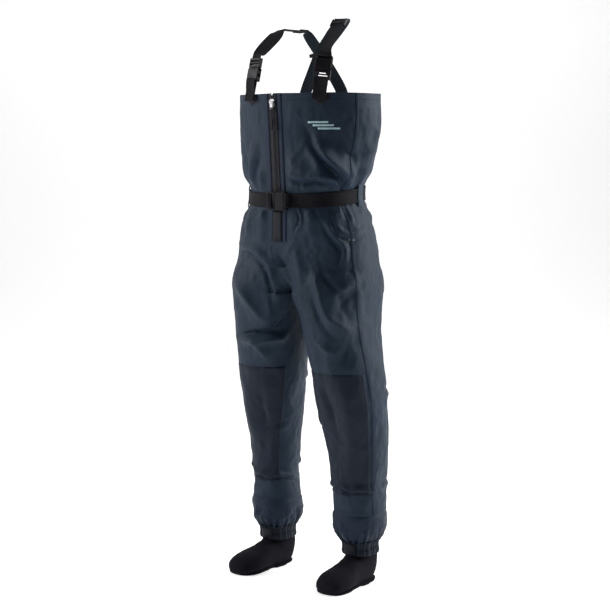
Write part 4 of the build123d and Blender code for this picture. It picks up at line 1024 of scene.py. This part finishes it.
def knee_patches():
    zs = span(612, 262, 5)
    for side, word in WORDS.items():
        rows, borders = [], []
        for z in zs:
            grid = bilinear(BASE[side], row_at(z), np.arange(SEAM_COLUMN + 1))
            inner = float(np.interp(14 - seam_y_at(z), -grid[:32, 1], np.arange(32)))
            columns = np.linspace(inner, SEAM_COLUMN - 3.2, 52)
            offs = np.full(52, 1.3)
            offs[0] = offs[-1] = 0.3
            if z in (zs[0], zs[-1]):
                offs[:] = 0.4
            rows.append(on_cloth(side, z, columns, offs))
            borders.append((columns[0], columns[-1]))
        net_piece(word + "_knee_cloth", np.array(rows), KNEE, 1.0, flip=side == LEFT, slot="knee_fabric",
                  replaces=(word + "_knee_patch",))
        batch = (word + "_knee_stitches", GARMENT, STITCH)
        inner, outer = np.array(borders).T
        for inset in (0.9, 2.2):
            sew(batch, side, zs, inner + inset, 1.35)
            sew(batch, side, zs, outer - inset, 1.35)
        for z in (608.5, 603, 265.5, 271):
            row = int(np.argmin(np.abs(zs - z)))
            sew(batch, side, z, np.linspace(inner[row] + 0.9, outer[row] - 0.9, 60), 1.35)
        for z in (211.0, 216.5):
            sew(("leg_hem_stitches", GARMENT, STITCH), side, z, np.arange(0, LAST_COLUMN), 0.2)


# ---------------------------------------------------------------- guards and cuffs
ANKLE_X, ANKLE_Y = 148.0, 50.0
AROUND = 176
CUFF_TOP, CUFF_LOW = 121.0, 80.0


def guard_table(side):
    puff = 3.0 if side == LEFT else 0.0
    return [(80, 50, 49, 53, 55), (118, 48, 51, 55, 57), (136, 47, 61 + puff, 65 + puff, 68 + puff),
            (166, 45, 69 + puff, 73 + puff, 77 + puff), (200, 44, 70 + puff, 74 + puff, 78 + puff),
            (212, 44, 68 + puff / 2, 72 + puff / 2, 76 + puff / 2)]


def ankle_ring(side, z, grow, turn):
    y, wide, front, back = curve(guard_table(side), z)
    c, s = np.cos(turn), np.sin(turn)
    grow = np.broadcast_to(grow, turn.shape)
    across = side * ANKLE_X + (wide + grow) * np.sign(c) * np.abs(c) ** (2 / 2.2)
    deep = y + (np.where(s > 0, back, front) + grow) * np.sign(s) * np.abs(s) ** (2 / 2.2)
    return np.stack([across, deep, np.full_like(turn, z)], -1)


def ruffle(turn, side, count, seed, sharp=1.0):
    """Uneven gathers round the ankle, from -1 to 1."""
    place = np.stack([np.cos(turn) * 60, np.sin(turn) * 60, np.full_like(turn, side * 40.0 + seed)], -1)
    wander = rough(place, (30, 30, 50), seed, 2)
    wave = np.cos(turn * count + 4.5 * wander)
    return (np.abs(0.5 + 0.5 * wave) ** sharp * 2 - 1) * (0.75 + 0.5 * wander)


def closed_ring(side, z, grow, turn, lift):
    ring = ankle_ring(side, z, grow, turn)
    ring[:, 2] += lift
    ring[-1] = ring[0]
    return ring


def guard_ring(side, z, turn):
    """The gravel guard's cloth at one height: gathers at its foot, and loose folds above them."""
    near = 1 - smooth(116, 168, z)
    grow = 4.2 * near * ruffle(turn, side, 19, 2.2) + 2.2 * near * ruffle(turn, side, 31, 5.0)
    spots = ankle_ring(side, z, 0.0, turn)
    broad = rough(spots, (55, 55, 60), 9.0 + side, 2)
    swell = np.exp(-((z - 158) / 22.0) ** 2)
    sharp = rough(spots, (38, 38, 70), 4.0 + side, 3, ridged=True)
    grow = grow + 6.5 * broad * swell + 4.5 * sharp * swell - (1.8 if z > 199 else 0.0)
    return closed_ring(side, z, grow, turn, 2.5 * broad * swell)


def cuff_ripple(side, turn):
    return ruffle(turn, side, 27, 1.3, 1.4)


def cuff_ring(side, z, turn):
    """The elastic cuff at one height: ripples, pinched where its four elastics run."""
    ripple = cuff_ripple(side, turn)
    pinch = 1.2 * math.cos((z - CUFF_LOW) / 38.0 * TWO_PI * 2)
    flare = 3.0 * smooth(112, CUFF_TOP, z) - 1.2 * (1 - smooth(CUFF_LOW, 83, z))
    grow = 1.0 + (1.9 + 0.4 * pinch) * ripple + flare * (0.6 + 0.4 * ripple) - 0.5 * pinch
    return closed_ring(side, z, np.maximum(grow, -1.6), turn, 0.8 * ripple * (1 - smooth(CUFF_LOW, 86, z)))


def sew_ankle(name, thread, side, z, grow, turn, **sizes):
    line = ankle_ring(side, z, grow, turn)
    stitch_row((name, GARMENT, thread), line, line - ankle_ring(side, z, 0.0, turn), **sizes)


def guards_and_cuffs():
    turn = np.linspace(0, TWO_PI, AROUND + 1)
    tab_turn = np.linspace(-math.pi / 2 - 0.29, -math.pi / 2 + 0.29, 9)
    tab_form = [(113, 2.4), (112, 4.3), (106, 4.6), (94, 4.6), (88, 4.4), (87, 2.4)]
    tabs = []
    for side, word in WORDS.items():
        rows = np.array([guard_ring(side, z, turn) for z in span(211, 117, 3.2)])
        join_nets(word + "_guard_cloth", [rows], [GUARD, LINING], [True], 1.8, weld=True,
                  slot="shell_fabric", replaces=(word + "_gravel_guard",))
        rows = np.array([cuff_ring(side, z, turn) for z in span(CUFF_TOP, CUFF_LOW, 1.7)])
        join_nets(word + "_cuff_cloth", [rows], [CUFF, LINING], [True], 1.6, weld=True, slot="cuff_elastic",
                  replaces=(word + "_cuff_elastic",))
        for z in (89, 99, 109):
            sew_ankle("cuff_stitches", STITCH, side, z, 1.4 + 1.9 * cuff_ripple(side, turn), turn, pitch=4.2)
        tabs.append(np.array([ankle_ring(side, z, off, tab_turn) for z, off in tab_form]))
        for z in (90, 109):
            sew_ankle("cuff_tab_stitches", BLACK_STITCH, side, z, 4.8, tab_turn)
    join_nets("cuff_tab_cloths", tabs, COATED, [True, True], 1.4, slot="webbing", replaces=("cuff_tabs",))


# ---------------------------------------------------------------- socks
FAN_FORWARD, FAN_Z = 72.0, 128.0
SOCK_FORE = [(114, 20, 12), (112, 29, 21), (108, 36, 30), (100, 44, 39), (84, 51, 46), (60, 56, 50),
             (32, 60, 48)]
SOCK_FAN = [(0, 58, 144, 43), (25, 56, 164, 42), (45, 45, 166, 41), (62, 37, 144, 40), (78, 31, 122, 40),
            (90, 28, 117, 41)]
SOCK_CALF = [(148, 48, 50), (165, 52, 55), (205, 60, 64)]
TOE_OUT = {RIGHT: 5.0, LEFT: 2.0}
SOLE_Z = 5.2
SOCK_AROUND = 72
SOCK_WALL = 4.0


def sock_sections(side):
    """Rings along the foot as centre, across, along, half across, half along, smoothly filled in."""
    turn = math.radians(TOE_OUT[side])
    back = np.array([-side * math.sin(turn), math.cos(turn), 0.0])
    across = np.array([math.cos(turn), side * math.sin(turn), 0.0])
    up = np.array([0.0, 0.0, 1.0])
    ankle = np.array([side * ANKLE_X, ANKLE_Y, 0.0])
    hub = ankle - back * FAN_FORWARD + up * FAN_Z
    rings = []
    for forward, top, half in SOCK_FORE:
        low = -6.0 + 8.0 * max(0.0, (forward - 96) / 18.0)
        rings.append((hub - back * forward + up * ((top + low) / 2 - FAN_Z), up, half, (top - low) / 2))
    for lean, near, far, half in SOCK_FAN:
        ray = back * math.sin(math.radians(lean)) - up * math.cos(math.radians(lean))
        rings.append((hub + ray * ((near + far) / 2), -ray, half, (far - near) / 2))
    for z, half, deep in SOCK_CALF:
        rings.append((ankle + up * z - back * 4, -back, half, deep))
    table = np.array([np.concatenate([c, a, [h, d]]) for c, a, h, d in rings])
    fine = smooth_rows(table, 4)
    fine[:, 3:6] /= np.linalg.norm(fine[:, 3:6], axis=1, keepdims=True)
    return fine, across


def smooth_rows(table, per_gap):
    """The rows of a table with smooth ones filled in between."""
    rows = [between(*four, t) for four in fours(table) for t in np.arange(per_gap) / per_gap]
    return np.array(rows + [table[-1]])


def sock_net(side):
    sections, across = sock_sections(side)
    turn = np.linspace(0, TWO_PI, SOCK_AROUND + 1)
    wide = np.sign(np.cos(turn)) * np.abs(np.cos(turn)) ** 0.9
    deep = np.sign(np.sin(turn)) * np.abs(np.sin(turn)) ** 0.9
    net = np.array([row[:3] + np.outer(row[6] * wide, across) + np.outer(row[7] * deep, row[3:6])
                    for row in sections])
    spots = net.reshape(-1, 3)
    away = spots - np.repeat(sections[:, :3], SOCK_AROUND + 1, axis=0)
    away /= np.linalg.norm(away, axis=1, keepdims=True) + 1e-9
    z = spots[:, 2]
    wrinkle = 1.6 * rough(spots, (26, 60, 16), 5.5 + side, 3, ridged=True) * smooth(30, 70, z)
    wrinkle += 1.2 * rough(spots, (50, 50, 40), 2.5 + side, 2)
    wrinkle *= 1 - smooth(100, 120, z)
    net = (spots + away * wrinkle[:, None]).reshape(net.shape)
    net[:, -1] = net[:, 0]
    return net


def closed_tube(name, net, node):
    """A neoprene net closed round and capped at both ends."""
    rows, columns = net.shape[:2]
    verts = list(net.reshape(-1, 3)) + [net[0].mean(0), net[-1].mean(0)]
    faces = net_faces(rows, columns)
    for column in range(columns - 1):
        faces.append((column + 1, column, rows * columns))
        last = (rows - 1) * columns + column
        faces.append((last, last + 1, rows * columns + 1))
    piece = new_piece(name, to_frame(verts), faces, SOCK, np.concatenate([net_uvs(net), [[0, 0], [0, 0]]]),
                      slot="neoprene", replaces=(node,))
    mend(piece, weld=2e-5, level=True, outward=True)


def socks():
    for side, word in WORDS.items():
        outer = sock_net(side)
        lining = []
        for ring in outer[:-15:-1]:
            away = ring - ring.mean(0)
            apart = np.linalg.norm(away, axis=1, keepdims=True)
            lining.append(ring.mean(0) + away * (1 - SOCK_WALL / apart))
        upper = np.concatenate([outer, np.array(lining)])
        upper[..., 2] = np.maximum(upper[..., 2], SOLE_Z - 0.6)
        closed_tube(word + "_sock_knit", upper, word + "_sock_upper")
        sole_knit(side, outer)
        sock_seams(side, outer)


def sole_knit(side, net):
    """The sole: a slab under the foot whose outline is the sock's own at the height where the two meet."""
    spots = net.reshape(-1, 3)
    low = spots[(spots[:, 2] > SOLE_Z) & (spots[:, 2] < SOLE_Z + 9)]
    middle = np.array([low[:, 0].mean(), (low[:, 1].min() + low[:, 1].max()) / 2])
    away = low[:, :2] - middle
    turn = np.arctan2(away[:, 1], away[:, 0])
    steps = np.linspace(-math.pi, math.pi, SOCK_AROUND + 1)
    reach = []
    for angle in steps:
        gap = np.abs((turn - angle + math.pi) % TWO_PI - math.pi)
        reach.append(np.linalg.norm(away[np.argsort(gap)[:6]], axis=1).max())
    reach = np.array(reach)
    reach = (np.roll(reach[:-1], 1) + 2 * reach[:-1] + np.roll(reach[:-1], -1)) / 4
    reach = np.append(reach, reach[0])
    rings = []
    for z, inset in ((SOLE_Z + 0.6, 2.2), (SOLE_Z, 1.2), (3.6, 1.4), (1.8, 2.6), (0.6, 5.0), (0.0, 9.0)):
        out = reach - inset
        rings.append(np.stack([middle[0] + out * np.cos(steps), middle[1] + out * np.sin(steps),
                               np.full_like(out, z)], 1))
    closed_tube(WORDS[side] + "_sole_knit", np.array(rings), WORDS[side] + "_sock_sole")


def sock_seams(side, net):
    """Raised glued seams with blind stitches: over the instep and round above the sole."""
    batch = (WORDS[side] + "_sock_seams", GARMENT, SOCK_SEAM)
    line = net[3:-10, (net.shape[1] - 1) // 4]
    outward = np.cross(np.array([1.0, 0, 0]), np.gradient(line, axis=0))
    outward *= np.sign((outward * (line - net[3:-10].mean(1))).sum(1, keepdims=True))
    stitch_row(batch, line, outward, pitch=2.6, long=2.9, wide=3.0, tall=0.35)
    for edge in (1, -1):
        path = []
        for ring in net[6:44]:
            if (ring[:, 2] < 16).any():
                half = ring[(ring[:, 0] - ring[:, 0].mean()) * edge > 0]
                path.append(half[np.argmin(np.abs(half[:, 2] - 15))])
        stitch_row(batch, path, normals_of(path, (edge, 0, 0)), pitch=2.6, long=2.9, wide=2.4, tall=0.3)


# ---------------------------------------------------------------- ribbons
def ribbon(name, stations, width, thick, finish, per_gap=8, slot="webbing", **facts):
    """A woven strap through (middle, direction across) stations, in millimetres."""
    table = np.array([np.concatenate([np.asarray(m, float), np.asarray(a, float) / np.linalg.norm(a)])
                      for m, a in stations])
    rows = smooth_rows(table, per_gap)
    middles, across = rows[:, :3], rows[:, 3:]
    along = np.gradient(middles, axis=0)
    along /= np.linalg.norm(along, axis=1, keepdims=True)
    across = across - along * (across * along).sum(1, keepdims=True)
    across /= np.linalg.norm(across, axis=1, keepdims=True)
    up = np.cross(across, along)
    half, deep = width / 2, thick / 2
    quarter = [(half, 0), (half - 0.5, deep), (half - 2.2, deep * 1.12), (half - 3.0, deep * 0.86)]
    outline = [(-x, y) for x, y in quarter] + [(0, deep * 0.86)] + quarter[::-1]
    outline += [(x, -y) for x, y in outline[-2:0:-1]]
    verts, uvs = [], []
    run = np.concatenate([[0], np.linalg.norm(np.diff(middles, axis=0), axis=1).cumsum()])
    for middle, side, high, place in zip(middles, across, up, run):
        for x, y in outline:
            verts.append(middle + side * x + high * y)
            uvs.append(((x + half) / 1000.0, place / 1000.0))
    count = len(outline)
    faces = []
    for row in range(len(middles) - 1):
        for step in range(count):
            a, b = row * count + step, row * count + (step + 1) % count
            faces.append((a, a + count, b + count, b))
    faces.append(tuple(range(count)))
    faces.append(tuple(range((len(middles) - 1) * count, len(middles) * count))[::-1])
    mend(new_piece(name, to_frame(verts), faces, finish, uvs, slot=slot, **facts), outward=True)


def unit(vector):
    vector = np.asarray(vector, float)
    return vector / np.linalg.norm(vector)


def strap_axes(origin, axis, outward):
    """Origin, across, along and outward, as in the CAD."""
    axis = unit(axis)
    outward = unit(np.asarray(outward, float) - axis * np.dot(outward, axis))
    return np.asarray(origin, float), np.cross(axis, outward), axis, outward


def front_point(x, z, off):
    y, wide, back, front_n, back_n = curve(TORSO, z)
    front = y - front_edge_y(z)
    return np.array([x, y - (front + off) * (1 - (abs(x) / (wide + off)) ** front_n) ** (1 / front_n), z])


WEB, CLIP_END, BUCKLE_RISE = 38.0, 66.0, 34.0
TAB_X = {RIGHT: -96.0, LEFT: 129.0}
TAB_OUT = {RIGHT: (-0.24, -0.97, 0), LEFT: (0.36, -0.93, 0)}
TAB_AXIS = {RIGHT: (0.06, 0.2, 0.978), LEFT: (0.03, 0.2, 0.979)}
RIGHT_RUN = ((-80, -8, 1562), (-53, 54, 1560))
LEFT_TOP = (128, -29, 1579)
CROSS = np.array([-8.0, 68.0, 1493.0])
CROSS_OUT = np.array([0.0, 0.96, 0.28])


def tab_frame(side):
    return strap_axes(front_point(TAB_X[side], RIM_Z, 5.0), TAB_AXIS[side], TAB_OUT[side])


def in_plane(frame, along, out):
    origin, _, axis, outward = frame
    return origin + axis * along + outward * out


def folded_web(name, frame, path, width, body, nodes):
    """Webbing that folds over in a strap's plane, through points along it and out from it."""
    stations = [(in_plane(frame, along, out), frame[1]) for along, out in path]
    ribbon(name, stations, width, 1.9, WEB_BLACK, per_gap=4, body=body, replaces=nodes)


def tab_loops():
    for side, word in WORDS.items():
        frame = tab_frame(side)
        reach = BUCKLE_RISE + (0.8 if side == LEFT else 0.0)
        path = [(-19.5, -0.1), (4, -0.1), (reach - 6, -0.1), (reach + 2, -0.1), (reach + 5.6, 0.6),
                (reach + 6.5, 2.6),
                (reach + 6.5, 5.2), (reach + 5.2, 7.3), (reach + 1.5, 7.7), (reach - 3, 7.4),
                (reach - 16, 5.2),
                (8, 2.6), (2, 2.2), (-19.5, 2.2)]
        folded_web(word + "_tab_webbing", frame, path, WEB, word + "_tab", (word + "_tab_loop",))
        box_stitch((word + "_tab_stitches", word + "_tab", BLACK_STITCH), frame, (-14, 3), 14, 3.35)


def box_stitch(batch, frame, along, half, out):
    """A sewn box with a cross in it, on a strap's face."""
    origin, across, axis, outward = frame
    low, high = along
    corners = [(-half, low), (half, low), (half, high), (-half, high)]
    for start, end in ((0, 1), (1, 2), (2, 3), (3, 0), (0, 2), (1, 3)):
        steps = np.linspace(corners[start], corners[end], 7)
        line = np.array([origin + across * x + axis * y + outward * out for x, y in steps])
        stitch_row(batch, line, normals_of(line, outward), pitch=3.0, long=2.2)


def anchors():
    """Patches on the rim, pointed at the foot, that the tab loops are sewn to."""
    half = WEB / 2 + 2
    for side, word in WORDS.items():
        x = TAB_X[side]
        rows = []
        for share in (0, 0.04, 0.3, 0.6, 0.93, 1.0):
            row = []
            for dx in np.linspace(-half, half, 15):
                bottom = RIM_Z - 19 - 14 * (1 - abs(dx) / half)
                edge = share in (0, 1.0) or abs(dx) == half
                row.append(on_front(RIM_Z - 0.3 + share * (bottom - RIM_Z), x + dx, 0.6 if edge else 1.8))
            rows.append(row)
        net_piece(word + "_anchor_patch", np.array(rows), COATED, 1.2, slot="webbing",
                  replaces=(word + "_strap_anchor",))
        for inset in (3.0, 5.5):
            wide, low, top = half - inset, RIM_Z - 19.5 - inset * 0.1, RIM_Z - 3
            outline = [(-wide, top), (-wide, low), (0, RIM_Z - 33 + inset * 1.35), (wide, low), (wide, top)]
            for start, end in zip(outline, outline[1:]):
                line = [on_front(z, x + dx, 2.0) for dx, z in np.linspace(start, end, 6)]
                stitch_row(("anchor_stitches", GARMENT, BLACK_STITCH), line,
                           normals_of(line, TAB_OUT[side]), pitch=3)


def left_run_start():
    return in_plane(tab_frame(LEFT), BUCKLE_RISE + CLIP_END + 18, 0.0)


def run_across(side):
    if side == RIGHT:
        start, end, outward = np.array(RIGHT_RUN[0], float), np.array(RIGHT_RUN[1], float), (0, 0, 1)
    else:
        start, end, outward = left_run_start(), np.array(LEFT_TOP, float), (0, -1, 0.8)
    return start, end, strap_axes(end, end - start, outward)[1]


def suspender_webbing():
    frame = tab_frame(RIGHT)
    start, end, flat = run_across(RIGHT)
    fronts = [(in_plane(frame, BUCKLE_RISE + 48, 0), frame[1]),
              (in_plane(frame, BUCKLE_RISE + CLIP_END + 8, 0), frame[1]),
              ((-88, -112, 1490), (0.95, 0.05, -0.2)), ((-86, -86, 1511), (0.86, 0.12, -0.45)),
              ((-83, -46, 1541), (0.86, 0.1, -0.4)),
              (start - unit(end - start) * 12 - (0, 0, 2), flat), (start, flat),
              (start + (end - start) * 0.1, flat),
              (start + (end - start) * 0.5, flat), (end, flat)]
    ribbon("right_front_webbing", fronts, WEB, 2.0, WEB_BLACK, replaces=("right_front_strap",))
    frame = tab_frame(LEFT)
    start, end, flat = run_across(LEFT)
    fronts = [(in_plane(frame, BUCKLE_RISE + CLIP_END - 7.5, 0), frame[1]),
              (in_plane(frame, BUCKLE_RISE + CLIP_END + 2, 0), frame[1]), (start, flat),
              (start + (end - start) * 0.35, flat), (start + (end - start) * 0.7, flat), (end, flat)]
    ribbon("left_front_webbing", fronts, WEB, 2.0, WEB_BLACK, replaces=("left_front_strap",))
    right_back = [(np.array(RIGHT_RUN[1]) + (1.5, 1.6, -1.5), (0.85, -0.45, 0.2)),
                  ((-40, 63, 1540), (0.86, -0.2, 0.45)),
                  (CROSS + CROSS_OUT * 2.6, (0.854, -0.145, 0.496)), ((22, 86, 1440), (0.87, -0.1, 0.47)),
                  ((45, 98.5, 1390), (0.93, 0, 0.36)), ((53, 101, 1346), (1, 0, 0))]
    left_back = [(np.array(LEFT_TOP) + (-0.3, 2.2, 1.2), (0.97, 0.1, 0)), ((116, 2, 1578), (0.9, 0.4, 0)),
                 ((80, 28, 1562), (0.6, 0.6, -0.5)), ((36, 49, 1533), (0.75, 0.19, -0.63)),
                 (CROSS - CROSS_OUT * 2.6, (0.762, 0.181, -0.62)), ((-48, 84, 1440), (0.79, 0.15, -0.59)),
                 ((-82, 98.5, 1390), (0.92, 0.05, -0.38)), ((-91, 99, 1346), (1, 0.08, 0))]
    for word, stations in (("right", right_back), ("left", left_back)):
        ribbon(word + "_back_webbing", stations, WEB, 2.0, WEB_TEAL, slot="elastic_webbing",
               replaces=(word + "_back_strap",))


def on_back(z, x, off):
    """A point on the smooth form of the back at X."""
    side, first = (LEFT if x >= 0 else RIGHT), SEAM_COLUMN + 12
    line = bilinear(BASE[side], row_at(z), np.arange(first, LAST_COLUMN + 1))[..., 0] * side
    return on_base(side, z, first + float(np.interp(-abs(x), -line, np.arange(len(line)))), off)


def back_anchors():
    """The patches outside the rim that hold the back straps' ends, thinned towards their edges."""
    edge = [(22, 5.9), (21.4, 8.0), (19.5, 9.0), (8, 9.0)]
    wide = [(-dx, off) for dx, off in edge] + [(0, 9.0)] + edge[::-1]
    tall = [(1374, 2.5), (1373, 0.3), (1366, 0), (1350, 0), (1341.5, 0.3), (1340, 2.5)]
    nets = []
    for x in (-91.0, 53.0):
        nets.append(np.array([[on_back(z, x + dx, max(off - thin, 5.9)) for dx, off in wide]
                              for z, thin in tall]))
        for z in (1344, 1357, 1371):
            line = [on_back(z, x + dx, 9.2) for dx in np.linspace(-17, 17, 9)]
            stitch_row(("back_anchor_stitches", GARMENT, BLACK_STITCH), line,
                       normals_of(line, (0, 1, 0)), pitch=3)
    join_nets("back_anchor_patches", nets, COATED, [False] * 2, 1.3, slot="webbing",
              replaces=("back_strap_anchors",))


# ---------------------------------------------------------------- belt
def belt_band():
    lean = math.hypot(BELT_SLOPE, 1.0)
    path = [(LEFT, c) for c in np.arange(column_at_x(1090, 2.0)[1], LAST_COLUMN, 1.0)]
    end = column_at_x(1090, -52.0)[1]
    path += [(RIGHT, c) for c in np.arange(LAST_COLUMN, end, -1.0)] + [(RIGHT, end)]
    upper = [(20, 2.9), (19.4, 4.3), (17.5, 4.75), (16.5, 4.35), (8, 4.4)]
    net = []
    for high, off in upper + [(0, 4.45)] + [(-high, off) for high, off in upper[::-1]]:
        row = []
        for side, column in path:
            z = BELT_Z
            for _ in range(3):
                z = belt_height(on_base(side, z, column)[1]) + high / lean
            row.append(on_base(side, z, column, off))
        net.append(row)
    net = np.array(net)
    piece = new_piece("belt_band_webbing", to_frame(net.reshape(-1, 3)), net_faces(*net.shape[:2], True),
                      WEB_BLACK, net_uvs(net)[:, ::-1], slot="webbing", replaces=("belt_webbing",))
    thicken(piece, 1.9)


def belt_end_loops():
    """The webbing sewn round the housing's bar, and the loop on the clip's."""
    frame = belt_axes()
    under = 4.7 - BELT_BUCKLE_OFF
    flat = under + 0.95
    housing = [(-9, 2.1), (-6, 4.6), (-3, 7.2), (0, 7.7), (4, 7.7), (5.8, 7.2), (6.6, 5.6), (6.6, 0),
               (6.6, under + 3), (6.0, under + 1.4), (4.6, flat), (-2, flat), (-9, flat)]
    clip = [(76, flat), (60, flat), (52, flat), (49.4, under + 1.4), (48.5, under + 3),
            (48.5, 0), (48.6, 5.6), (49.4, 7.2), (51, 7.7), (55.4, 7.7)]
    for name, body, path, nodes in (("belt_housing_loop", GARMENT, housing, ()),
                                    ("belt_clip_webbing", "belt_clip", clip, ("belt_clip_loop",))):
        folded_web(name, frame, path, BELT_LOOP_WIDTH, body, nodes)


BELT_BUCKLE_OFF = 11.6
BELT_LOOP_WIDTH = 39.0


def belt_axes():
    up, out = unit((0, 24.0, 320.0)), unit((0, -320.0, 24.0))
    z = BELT_Z + (front_edge_y(BELT_Z) - BELT_Y) * BELT_SLOPE
    origin = np.array([26.0, front_edge_y(z), z]) + out * BELT_BUCKLE_OFF
    return origin, up, np.cross(out, up), out


def belt_loops():
    upper = [(38, 0.6), (36.8, 1.6), (33, 2.2), (29, 4.4), (24, 6.2), (12, 6.6)]
    tall = upper + [(0, 6.7)] + [(-high, off) for high, off in upper[::-1]]
    wide = [(-12, 0.7), (-11.2, 0.1), (-4, 0), (4, 0), (11.2, 0.1), (12, 0.7)]
    nets = []
    for x, y in ((-150.0, -62.0), (168.0, 14.0), (0.0, 108.0)):
        side = LEFT if x >= 0 else RIGHT
        grid = bilinear(BASE[side], row_at(belt_height(y)), np.arange(LAST_COLUMN + 1))
        centre = int(np.argmin((grid[:, 0] - x) ** 2 + (grid[:, 1] - y) ** 2))
        gap = np.linalg.norm(grid[centre] - grid[centre - 1])
        net = []
        for high, off in tall:
            row = []
            for across, thin in wide:
                column, use = centre + across / gap, side
                if column > LAST_COLUMN:
                    column, use = 2 * LAST_COLUMN - column, -side
                row.append(on_base(use, belt_height(y) + high, column, off - thin))
            net.append(row)
        net = np.array(net)
        nets.append(net)
        out = unit((x, y, 0))
        for edge, beside, step in ((net[1], net[2], -3.7), (net[-2], net[-3], 3.7)):
            line = edge + (beside - edge) * 0.4
            for place in (line + out * 0.1, line + (0, 0, step) + out * 1.1):
                stitch_row(("belt_loop_stitches", GARMENT, STITCH), place, normals_of(line, out),
                           pitch=2.6, long=2.0)
    join_nets("belt_loop_cloths", nets, LOOP, [False, True, True], 1.3, slot="shell_fabric",
              replaces=("belt_loops",))


# ---------------------------------------------------------------- what the CAD shapes keep
KEPT = {
    "zip_slider": SILVER, "zip_pull_tab": SILVER, "zip_top_stops": SILVER, "zip_pull_cord": CORD_BLACK,
    "right_zip_teeth": TEETH, "left_zip_teeth": TEETH,
}


def finish_kept_nodes():
    """The CAD's own shapes are plastic, apart from the ones named above."""
    for name, node in frame["nodes"].items():
        if node.hide_render:
            continue
        finish = KEPT.get(name, PLASTIC)
        if not node.material_slots:
            node.data.materials.append(finish)
        for entry in node.material_slots:
            entry.material = finish


place_camera()
studio()
shell_panels()
side_seams()
zip_trim()
zip_garage()
mark_and_hem()
knee_patches()
guards_and_cuffs()
socks()
tab_loops()
anchors()
suspender_webbing()
back_anchors()
belt_band()
belt_end_loops()
belt_loops()
finish_kept_nodes()
sew_all()
